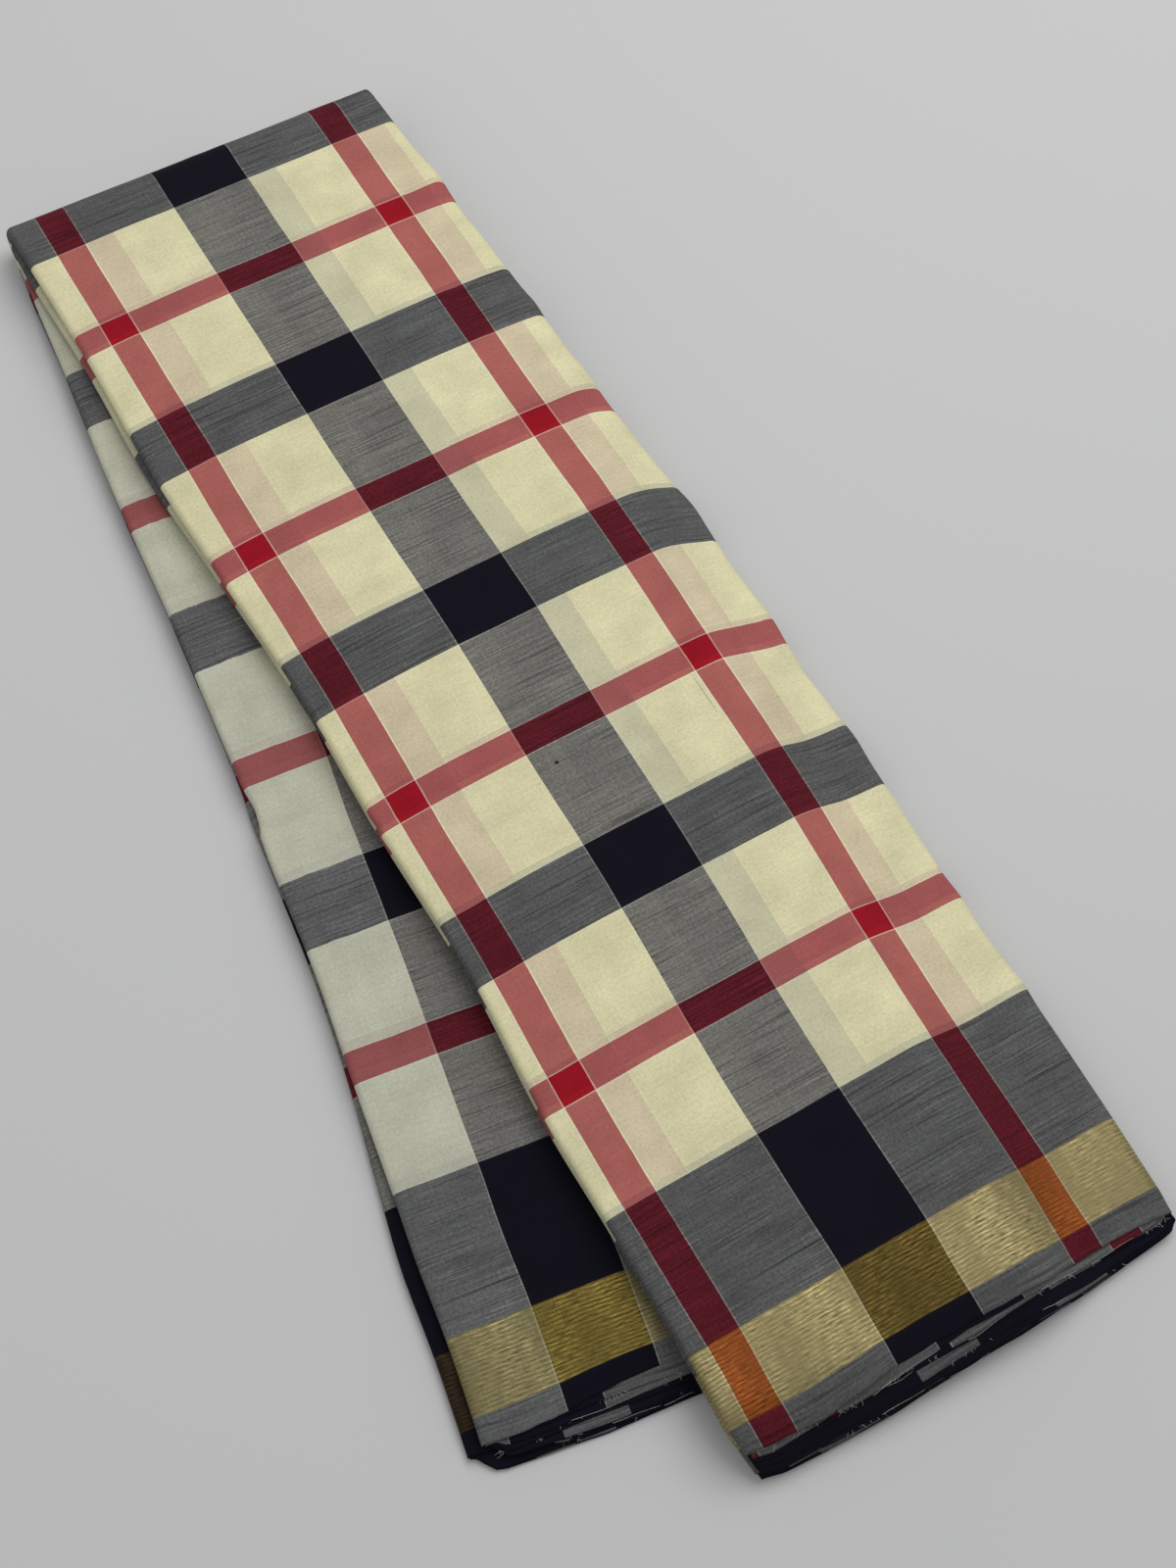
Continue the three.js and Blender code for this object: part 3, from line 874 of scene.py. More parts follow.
        # The beat of the loom is never quite even, so the stripes waver by a thread or two.
        noisy = add(NOISE, {"Vector": place, "Scale": self.waver_scale, "Detail": 1.0})
        centred = add(VECTOR, (noisy.outputs["Color"], (0.5, 0.5, 0.5)), operation="SUBTRACT")
        drift = add(VECTOR, {0: centred, "Scale": 2 * self.waver}, operation="SCALE")
        moved = add(VECTOR, (place, drift), operation="ADD")
        aside = add(VECTOR, (moved, (*self.under_shift, 0.0)), operation="ADD")
        top = self.woven_at(tree, moved, self.weft).outputs
        below = self.woven_at(tree, aside, self.under_weft).outputs
        mixed, gold = top["Mixed"], top["Gold"]
        in_yarn = add(RANGE, (mixed, 0, 1, self.under_show, self.under_show_in_grey))
        show = add(RANGE, (gold, 0, 1, in_yarn, self.under_show_in_zari))
        cooler = add(VECTOR, (below["Color"], self.under_tint), operation="ADD")
        shades = {0: show, 6: top["Color"], 7: cooler}
        shown = add(MIX, shades, data_type="RGBA", blend_type="MULTIPLY")

        # Slubs: each yarn is thicker here and thinner there, in streaks along its own way.
        # Over them lies a soft blotchy tone, partly random mottling and partly painted shade of small
        # puckers.
        fine, broad, upright = (
            self.streaks(tree, place, slub)
            for slub in (self.fine_slub, self.broad_slub, self.weft_slub)
        )
        grain = add(NOISE, {"Vector": place, "Scale": self.grain_scale, "Detail": 4.0})
        # Partly painted shade: soft blotches for the shade of small puckers, over random mottling.
        mottle_and_shade = add(NOISE, {"Vector": place, "Scale": self.mottle_and_shade_scale, "Detail": 3.0})
        gathered = add(RANGE, (add(NOISE, {"Vector": place, "Scale": self.patch_scale}), *self.patch_range))
        depths = [
            add(RANGE, (mixed, 0, 1, *swing))
            for swing in (self.fine_swing, self.broad_swing, self.weft_swing, self.grain_swing)
        ]
        depths[0] = add(MATH, (depths[0], gathered), operation="MULTIPLY")
        layers = zip((fine, broad, upright, grain, mottle_and_shade), (*depths, self.mottle_and_shade_swing))
        tones = [self.swing(tree, value, depth) for value, depth in layers]

        # A few thick dark ends of the warp stand out in the grey checks.
        dark = add(MATH, (add(RANGE, (broad, *self.dark_ends)), mixed), operation="MULTIPLY")
        tones.append(add(MATH, (1.0, dark), operation="SUBTRACT"))
        for flaw in self.flaws:
            away = add(VECTOR, (place, (flaw.run, flaw.woven, 0.0)), operation="SUBTRACT")
            sizes = (1 / flaw.half_run, 1 / flaw.half_woven, 0.0)
            far = add(VECTOR, (add(VECTOR, (away, sizes), operation="MULTIPLY"),), operation="LENGTH")
            tones.append(add(RANGE, (far, FLAW_CORE, 1.0, 1 - flaw.depth, 1.0)))
        tone = self.product(tree, tones)

        # Zari: dashes and ribs, brighter in patches, and of more contrast where they cross navy.
        # The bright dashes and patches are painted highlight of its metal, over its real ribbed texture.
        dash, patch = (self.streaks(tree, place, size) for size in (self.zari_dash, self.zari_highlight_patch))
        patch = add(RANGE, (patch, *self.zari_highlight_patch_range))
        bright = (top["Deep"], self.zari_over_navy, patch)
        strength = add(MATH, bright, operation="MULTIPLY_ADD")
        spacing = math.tau / WAVE_TURN / self.zari_rib
        wave = {"Vector": place, "Scale": spacing, "Distortion": 3.0, "Detail Scale": 0.25}
        ribs = add("ShaderNodeTexWave", wave, bands_direction="Y").outputs["Fac"]
        rib_depth = add(MATH, (strength, self.rib_share), operation="MULTIPLY")
        lift = add(RANGE, (patch, *self.zari_highlight_patch_range[2:], *self.zari_highlight_lift))
        swings = (self.swing(tree, dash, strength), self.swing(tree, ribs, rib_depth))
        ribs_and_painted_glint = self.product(tree, (*swings, lift))
        surface = add(MIX, {0: gold, 2: tone, 3: ribs_and_painted_glint}, data_type="FLOAT")

        coloured = add(VECTOR, {0: shown, "Scale": surface}, operation="SCALE")
        metal = add(MATH, (gold, self.metal), operation="MULTIPLY")
        rough = add(RANGE, (gold, 0, 1, *self.roughness))
        threads = add(MATH, (fine, upright), operation="ADD")
        height = add(MATH, (threads, grain), operation="ADD")
        relief = {"Strength": 0.25, "Distance": self.thread_height * MM, "Height": height}
        look = {
            "Base Color": coloured,
            "Metallic": metal,
            "Roughness": rough,
            "Specular IOR Level": 0.08,
            "Sheen Weight": 0.01,
            "Sheen Roughness": 0.5,
            "Normal": add("ShaderNodeBump", relief),
        }
        add(OUTPUT, (add(SHADER, look),))
        return made

    def woven_at(self, tree: bpy.types.NodeTree, place: object, weft: Sequence[Stripe]) -> bpy.types.Node:
        """The woven colour and masks at a place in the cloth."""
        at = add_node(tree, "ShaderNodeSeparateXYZ", (place,)).outputs
        group = add_node(tree, "ShaderNodeGroup", node_tree=self.crossings(weft))
        tree.links.new(at[0], group.inputs["Run"])
        tree.links.new(at[1], group.inputs["Woven"])
        return group

    def streaks(self, tree: bpy.types.NodeTree, place: object, streak: Streak) -> bpy.types.Node:
        """Noise drawn out along one set of yarns, from 0 to 1.

        Args:
            tree: the tree to add to.
            place: the cloth's map.
            streak: the noise's size both ways.

        Returns:
            The noise's last node.
        """
        scale = (1 / streak.across_run, 1 / streak.along_panel, 1.0)
        stretched = add_node(tree, VECTOR, (place, scale), operation="MULTIPLY")
        pattern = {"Vector": stretched, "Scale": 1.0, "Detail": 3.0, "Roughness": 0.6}
        return add_node(tree, RANGE, (add_node(tree, NOISE, pattern), 0.3, 0.7))

    def swing(self, tree: bpy.types.NodeTree, value: object, depth: object) -> bpy.types.Node:
        """Turns noise about a half into a tone about 1, which a depth of 1 takes from 0 to 2."""
        about_zero = add_node(tree, MATH, (value, 2.0, -1.0), operation="MULTIPLY_ADD")
        return add_node(tree, MATH, (about_zero, depth, 1.0), operation="MULTIPLY_ADD")

    def product(self, tree: bpy.types.NodeTree, tones: Sequence[object]) -> object:
        """All the tones, one on top of the other."""
        whole = tones[0]
        for tone in tones[1:]:
            whole = add_node(tree, MATH, (whole, tone), operation="MULTIPLY")
        return whole


@dataclass(frozen=True)
class LooseYarnAndHighlight:
    """A frayed end of undyed silk, which looks like a fine silvery hair; along the plies' edges it is also
    a painted highlight.
    """

    name: str = "frayed_silk_ends_and_highlight"
    # Pale and silvery: the undyed yarn's colour, and in part a painted highlight of the plies' edges.
    colour: str = "#c8c7c0"
    patch_scale: float = 180.0  # waves in each metre, so a patch is as long as a short end
    tones: tuple[float, float] = (0.35, 1.15)

    def material(self) -> bpy.types.Material:
        """The material, a little lighter and darker from end to end."""
        made = new_material(self.name)
        add = partial(add_node, made.node_tree)
        place = add("ShaderNodeTexCoord").outputs["Object"]
        patchy = add(NOISE, {"Vector": place, "Scale": self.patch_scale, "Detail": 2.0})
        tone = add(RANGE, (patchy, 0, 1, *self.tones))
        coloured = add(VECTOR, {0: linear(self.colour)[:3], "Scale": tone}, operation="SCALE")
        look = {"Base Color": coloured, "Roughness": 0.45, "Sheen Weight": 0.2}
        add(OUTPUT, (add(SHADER, look),))
        return made


# ---------------------------------------------------------------- cloth meshes


def plan_origin() -> Vector:
    """The table point at the model's origin, worked out from the frame."""
    low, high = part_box("upper_front")
    stations = [UpperStation.at(along) for along in range(UPPER_ROWS[-1].along)]
    tip = max(station.place(station.width, 0.5, 0).x for station in stations)
    top = TurnStation.at(math.pi / 2).place(0, 1, 0)
    return Vector((tip - high[0] / MM, top.y - high[1] / MM, 0))


class ClothMesh:
    """A grid of cloth being laid out, row by row, with its map."""

    def __init__(self, name: str, origin: Vector) -> None:
        """Starts an empty grid.

        Args:
            name: the piece's name.
            origin: the table point at the model's origin.
        """
        self.name = name
        self.origin = origin
        self.points: list[Vector] = []
        self.places: list[tuple[float, float]] = []
        self.columns = 0
        self.finishes: list[int] = []  # the material of each strip between two columns

    def add_row(self, row: Sequence[tuple[Vector, tuple[float, float]]]) -> None:
        """Adds a row of points, each with its place in the cloth."""
        self.columns = len(row)
        self.points += [(point - self.origin) * MM for point, _ in row]
        self.places += [place for _, place in row]

    def build(self, up: float, thickness: float, offset: float) -> bpy.types.Object:
        """Makes the object, as a closed shell.

        Args:
            up: 1 where the middle of the cloth faces up, -1 where it faces down.
            thickness: of the cloth, in mm.
            offset: -1 puts the thickness behind the grid, and 0 on both sides of it.

        Returns:
            The piece.
        """
        rows, strips = len(self.points) // self.columns, self.columns - 1
        starts = (j * self.columns + i for j in range(rows - 1) for i in range(strips))
        faces = [(a, a + 1, a + self.columns + 1, a + self.columns) for a in starts]
        a, b, _, d = (self.points[k] for k in faces[(rows // 2) * strips + self.columns // 2])
        if up * (b - a).cross(d - a).z < 0:
            faces = [face[::-1] for face in faces]
        piece = new_piece(self.name, self.points, faces)
        mesh = piece.data
        if self.finishes:
            for face in mesh.polygons:
                face.material_index = self.finishes[face.index % strips]
        layer = mesh.uv_layers.new(name=CLOTH_MAP)
        for loop in mesh.loops:
            layer.data[loop.index].uv = self.places[loop.vertex_index]
        shell = piece.modifiers.new("cloth", "SOLIDIFY")
        shell.thickness, shell.offset = thickness * MM, offset
        bpy.ops.object.select_all(action="DESELECT")
        piece.select_set(True)
        bpy.context.view_layer.objects.active = piece
        bpy.ops.object.modifier_apply(modifier=shell.name)
        return piece


@dataclass(frozen=True)
class Stretch:
    """One stretch of the cloth that shows, from its tuck in the bundle to its tuck or edge."""

    name: str
    node: str
    slot: str
    section: Callable[[Station], list[SectionPoint]]
    relief: Relief
    weft_start: float  # the weft's place at the roll's leftmost point
    selvedge: tuple[float, ...] = ()  # how far the free edge stands out, from left to right
    selvedge_pull: float = 16.0  # length of cloth that gives way to the free edge's waves
    ragged: tuple[float, float] = (0.35, 4.5)  # depth of its small waves, and their length
    foot: float = UPPER_ROWS[-1].along  # where its panel's front ends
    droop: float = 0.2  # share by which the bundle thins towards there
    droop_length: float = 9.0
    turn_pace: float = 10.0  # length that the relief moves on in each radian of the turn

    def build(self, stations: Sequence[Station], origin: Vector) -> bpy.types.Object:
        """Makes the stretch.

        Args:
            stations: from its selvedge to its far end.
            origin: the table point at the model's origin.

        Returns:
            The piece, with no material yet.
        """
        cloth = ClothMesh(self.name, origin)
        for station in stations:
            cloth.add_row([self.laid(station, point) for point in self.section(station)])
        return cloth.build(1 if self.section is front_section else -1, CLOTH, -1)

    def laid(self, station: Station, point: SectionPoint) -> tuple[Vector, tuple[float, float]]:
        """Where a section's point lies, and its place in the cloth.

        Args:
            station: the section.
            point: the point of it.

        Returns:
            The point on the table, and its run across and distance from the selvedge.
        """
        turned = isinstance(station, TurnStation)
        along = -station.angle * self.turn_pace if turned else station.along
        # Cloth tucked into the bundle stays in place, and so does the right fold's outermost line.
        still = point.level == 0.5 and abs(point.off) < 1 and point.s > TUCK_START - 0.5
        rise = 0.0 if still else self.relief.at(point.run, along)
        moved = replace(station, along=station.along + self.pulled(station, point.s))
        foot = smoothstep(station.along, self.foot - self.droop_length, self.foot)
        thinned = 1 - self.droop * foot
        off = point.off + rise * point.out_off
        spot = moved.place(point.s + rise * point.out_s, point.level * thinned, off * thinned)
        spot.z = max(spot.z, 0.0)
        woven = station.woven(point.level, point.off)
        return spot, (point.run + self.weft_start + station.slip, woven)

    def pulled(self, station: Station, s: float) -> float:
        """How far the wave of the free edge pulls the cloth at a point along the panel.

        Args:
            station: the section.
            s: the point's distance across it.

        Returns:
            The distance, towards the open end.
        """
        if not self.selvedge or isinstance(station, TurnStation):
            return 0.0
        near = smoothstep(station.along, station.end - self.selvedge_pull, station.end)
        at = min(max(s / station.width, 0.0), 1.0) * (len(self.selvedge) - 1)
        k = min(int(at), len(self.selvedge) - 2)
        wave = lerp(self.selvedge[k], self.selvedge[k + 1], smoothstep(at, k, k + 1))
        depth, length = self.ragged
        return near * wave + near**4 * (depth * noise.noise(Vector((s / length, 0.3, self.weft_start))))


def stops(end: float, fine: float = 1.2, reach: float = 12.0) -> list[float]:
    """Distances from the top fold for a cloth's rows, from its selvedge back to the fold."""
    return spaced(end, end - reach, fine) + spaced(end - reach, 0, STEP)[1:]


# ---------------------------------------------------------------- hidden layers


@dataclass(frozen=True)
class HiddenLayers:
    """A panel's hidden layers: one long sheet, pleated back and forth inside the bundle."""

    name: str
    node: str
    plies: int
    leaves: tuple[Leaf, ...]
    station_at: Callable[[float], Station]
    end: float
    seed: int
    weft_start: float  # the weft's place in the ply under the front, at the left
    half_turn: float = 0.0  # length of cloth round half of the top fold, where it has one
    checked: int = 2  # the top plies that are not yet the plain end of the saree
    corners: tuple[float, float] = (1.5, 2.0)  # how far the free edges are cut off at their ends
    corner_shares: tuple[float, float] = (0.055, 0.965)  # of the way across, where a cut fades
    across: int = 32  # faces across a ply, closer together at its ends
    bend: int = 3  # faces round a pleat
    inside: float = 1.0  # clearance to the bundle's faces
    inside_roll: float = 1.1  # and to its side rolls
    seam: float = 1.6  # plies this near the middle keep clear of the rolls' cloth
    droop: float = 0.38  # share by which the plies sink at their free edges
    droop_from: float = 12.0  # they start to sink this far before the front's selvedge
    droop_to: float = 9.0  # and are at their lowest this far past it
    free: float = 14.0  # length of the plies' free ends
    step: float = 14.0  # distance between rows in the bundle
    tip_shares: tuple[float, ...] = (1.0, 0.95, 0.88, 0.8, 0.7, 0.58, 0.4, 0.2)
    mean_reach: float = 8.0  # how far the plies pass the front's selvedge, for the flat size
    least_reach: float = 0.3
    uneven: tuple[float, float] = (0.2, 0.4)  # how far a ply's edge is shifted and tilted at most
    wave: tuple[float, float, float] = (0.45, 9, 3.1)  # its height, number, and step from ply to ply
    starts_within: float = 260.0  # the weft of a hidden ply starts anywhere in this length
    lowest: float = 0.4  # height of a ply on the table

    def ply_height(self, ply: int, thickness: float) -> float:
        """The height of a ply in the bundle."""
        return lerp(self.inside, thickness - self.inside, ply / (self.plies - 1))

    def ends(self, height: float, station: Station) -> tuple[float, float]:
        """Where a layer lies across a section.

        Args:
            height: of the layer.
            station: the section.

        Returns:
            Where it starts on the left and stops on the right.
        """
        half, roll = station.thickness / 2, station.thickness / 4
        first = height > half
        level = roll * 3 if first else roll
        aside = max((roll - self.inside_roll) ** 2 - (height - level) ** 2, 0.0)
        left = roll - math.sqrt(aside) - (0 if first else station.peek)
        if abs(height - half) < self.seam:
            left = ROLL_TUCK + 1
        fold = max((half - self.inside) ** 2 - (height - half) ** 2, 0.0)
        return left, station.width - half + math.sqrt(fold)

    def reach(self, ply: int, share: float) -> float:
        """How far a ply passes the front's selvedge.

        Args:
            ply: its number, from the lowest.
            share: of the way across.

        Returns:
            The distance, with the ply's own small unevenness.
        """
        upper = max(1, next(i for i, leaf in enumerate(self.leaves) if leaf.ply >= ply))
        low, high = self.leaves[upper - 1], self.leaves[upper]
        t = (ply - low.ply) / (high.ply - low.ply)
        at = share * 4
        k = min(int(at), 3)
        marks = [lerp(low[i + 1], high[i + 1], t) for i in (k, k + 1)]
        rng = random.Random(self.seed * 100 + ply)
        shift, tilt = (rng.uniform(-most, most) for most in self.uneven)
        height, waves, apart = self.wave
        wave = height * noise.noise(Vector((share * waves, ply * apart, self.seed)))
        edge = lerp(marks[0], marks[1], at - k) + shift + tilt * (share - 0.5) + wave
        cut = self.corners[0] * (1 - smoothstep(share, 0, self.corner_shares[0])) ** 1.5
        cut += self.corners[1] * smoothstep(share, self.corner_shares[1], 1) ** 2
        return max(edge - cut, self.least_reach)

    def path(self, station: Station) -> list[tuple[float, float, int, float]]:
        """The pleated section, from the lowest layer up: s, height, ply, share across."""
        heights = [self.ply_height(ply, station.thickness) for ply in range(self.plies)]
        limits = [self.ends(height, station) for height in heights]
        shares = [(1 - math.cos(math.pi * i / self.across)) / 2 for i in range(self.across + 1)]
        points = []
        for ply, (height, (left, right)) in enumerate(zip(heights, limits)):
            forward = ply % 2 == 0
            for share in shares if forward else shares[::-1]:
                points.append((lerp(left, right, share), height, ply, share))
            if ply + 1 == self.plies:
                break
            side, out = (1, 1) if forward else (0, -1)
            radius = (heights[ply + 1] - height) / 2
            for i in range(1, self.bend):
                angle = math.pi * i / self.bend
                s = lerp(limits[ply][side], limits[ply + 1][side], i / self.bend)
                rise = height + radius * (1 - math.cos(angle))
                points.append((s + out * radius * math.sin(angle), rise, ply, float(side)))
        return points

    def build(self, turns: Sequence[float], origin: Vector) -> bpy.types.Object:
        """Makes the sheet.

        Args:
            turns: angles of the rows round the top fold, none where the panel has no turn.
            origin: the table point at the model's origin.

        Returns:
            The piece, with no material yet.
        """
        cloth = ClothMesh(self.name, origin)
        root = self.end - self.free
        starts = self.weft_starts()
        columns = self.path(self.station_at(self.end))
        cloth.finishes = [int(ply >= self.plies - self.checked) for _, _, ply, _ in columns[:-1]]
        for share in self.tip_shares:
            row = []
            for s, height, ply, across in columns:
                tip = self.end + self.reach(ply, across)
                along = root + share * (tip - root)
                spot = self.placed(self.station_at(along), s, self.sunk(height, along))
                row.append((spot, (s + starts[ply], tip - along)))
            cloth.add_row(row)
        rows: list[Station] = [self.station_at(along) for along in spaced(root, GAP, self.step)]
        for station in rows + [TurnStation.at(angle) for angle in turns]:
            row = []
            for s, height, ply, across in self.path(station):
                woven = station.woven(0, height) + self.reach(ply, across)
                row.append((self.placed(station, s, height), (s + starts[ply], woven)))
            cloth.add_row(row)
        return cloth.build(1, PLY, 0)

    def weft_starts(self) -> list[float]:
        """Where the weft starts in each ply: at random, but in step with the front near it."""
        rng = random.Random(self.seed)
        starts = [rng.uniform(0, self.starts_within) for _ in range(self.plies)]
        return starts[:-1] + [self.weft_start]

    def sunk(self, height: float, along: float) -> float:
        """The height of a ply, which sinks past the front's selvedge."""
        low = smoothstep(along, self.end - self.droop_from, self.end + self.droop_to)
        return height * (1 - self.droop * low)

    def placed(self, station: Station, s: float, height: float) -> Vector:
        """A point of a ply, on the bundle's own form and clear of the table."""
        spot = station.place(s, height / station.thickness, 0.0)
        spot.z = max(spot.z, self.lowest)
        return spot

    def flat_size(self) -> tuple[float, float]:
        """The sheet's flat width and length, in metres."""
        path = self.path(self.station_at(self.end))
        width = sum(math.dist(a[:2], b[:2]) for a, b in zip(path, path[1:])) * MM
        return width, (self.end + self.mean_reach + self.half_turn) * MM


# ---------------------------------------------------------------- frayed ends and painted edge highlights


@dataclass(frozen=True)
class FrayedEnds:
    """Fine yarn ends and loose threads along the selvedges at a panel's open end.

    ends stick out of the edges in small tufts, and threads lie along them: frayed yarn that has
    slipped off, and also a painted highlight, as pale threads, of the plies' bright edges. Both come
    mostly from the plies near the front.
    """

    name: str
    layers: HiddenLayers
    ends: int
    threads: int
    seed: int
    thickness: float = 0.17
    length: tuple[float, float] = (0.6, 2.1)
    thread_length: tuple[float, float] = (9.0, 26.0)
    tuft: int = 6  # ends in a tuft, on average
    spread: float = 0.02  # of a tuft, as a share of the way across
    near_front: tuple[float, float] = (2.2, 0.8)  # how strongly plies near the front are favoured
    root: float = 0.6  # an end starts this far inside its ply
    lie: float = 0.26  # a thread's height over the ply's edge
    sides: int = 3
    parts: int = 4
    thread_parts: int = 9

    def build(self, origin: Vector) -> bpy.types.Object:
        """Makes all the ends and threads as one mesh.

        Args:
            origin: the table point at the model's origin.

        Returns:
            The piece, with no material yet.
        """
        rng = random.Random(self.seed)
        points: list[Vector] = []
        faces: list[tuple[int, ...]] = []
        tufts = [(self.some_ply(rng), rng.random()) for _ in range(self.ends // self.tuft)]
        for _ in range(self.ends):
            ply, middle = rng.choice(tufts)
            across = min(max(rng.gauss(middle, self.spread), 0.01), 0.99)
            self.add_tube(points, faces, self.end_path(rng, ply, across))
        # Painted highlight, in part: pale threads along the plies' edges.
        for _ in range(self.threads):
            self.add_tube(points, faces, self.thread_and_highlight_path(rng))
        return new_piece(self.name, [(point - origin) * MM for point in points], faces)

    def some_ply(self, rng: random.Random) -> int:
        """A ply, more often one near the front."""
        power, depth = self.near_front
        return round((self.layers.plies - 1) * (1 - rng.random() ** power * depth))

    def edge_point(self, ply: int, across: float, past: float) -> Vector:
        """A point of a ply's free edge, or past it.

        Args:
            ply: its number, from the lowest.
            across: share of the way across.
            past: distance past the edge, towards the open end.

        Returns:
            The point on the table.
        """
        layers = self.layers
        foot = layers.station_at(layers.end)
        height = layers.ply_height(ply, foot.thickness)
        left, right = layers.ends(height, foot)
        along = layers.end + layers.reach(ply, across) + past
        sunk = layers.sunk(height, along)
        return layers.placed(layers.station_at(along), lerp(left, right, across), sunk)

    def end_path(self, rng: random.Random, ply: int, across: float) -> list[Vector]:
        """The way of a yarn end, from inside its ply to its curled tip."""
        start = self.edge_point(ply, across, -self.root)  # each pair below is a mean and a spread
        way = Vector((rng.gauss(-0.1, 0.7), -1, rng.gauss(0.1, 0.25))).normalized()
        curl = Vector((rng.gauss(0, 0.5), rng.gauss(0, 0.2), rng.gauss(-0.1, 0.25)))
        length = rng.uniform(*self.length)
        shares = [k / self.parts for k in range(self.parts + 1)]
        return [start + (way * share + curl * share * share) * length for share in shares]

    def thread_and_highlight_path(self, rng: random.Random) -> list[Vector]:
        """The way of a loose thread along a ply's edge, which also paints that edge's highlight."""
        ply = self.some_ply(rng)
        share = rng.uniform(*self.thread_length) / self.layers.station_at(self.layers.end).width
        start = rng.uniform(0.03, 0.97 - share)
        away = rng.uniform(-0.2, 0.3)
        path = []
        for k in range(self.thread_parts + 1):
            t = k / self.thread_parts
            past = away + 0.25 * math.sin(5 * t + ply)
            path.append(self.edge_point(ply, start + share * t, past) + Vector((0, 0, self.lie)))
        return path

    def add_tube(self, points: list[Vector], faces: list, path: Sequence[Vector]) -> None:
        """Adds a thin tube, which narrows to half and has closed tips.

        Args:
            points: the mesh's points, which grow.
            faces: the mesh's faces, which grow.
            path: the points that the tube follows.
        """
        base, last, sides = len(points), len(path) - 1, self.sides
        way = path[-1] - path[0]
        side = way.cross(Vector((0, 0, 1))).normalized()
        up = side.cross(way).normalized()
        for k, middle in enumerate(path):
            centre = Vector((middle.x, middle.y, max(middle.z, self.thickness)))
            radius = self.thickness / 2 * (1 - 0.5 * k / last)
            for i in range(sides):
                angle = 2 * math.pi * i / sides
                points.append(centre + radius * (side * math.cos(angle) + up * math.sin(angle)))
        for start in range(base, base + last * sides, sides):
            for i in range(sides):
                a, b = start + i, start + (i + 1) % sides
                faces.append((a, a + sides, b + sides, b))
        tip = base + last * sides
        faces.append(tuple(range(base, base + sides)))
        faces.append(tuple(reversed(range(tip, tip + sides))))


# ---------------------------------------------------------------- the saree


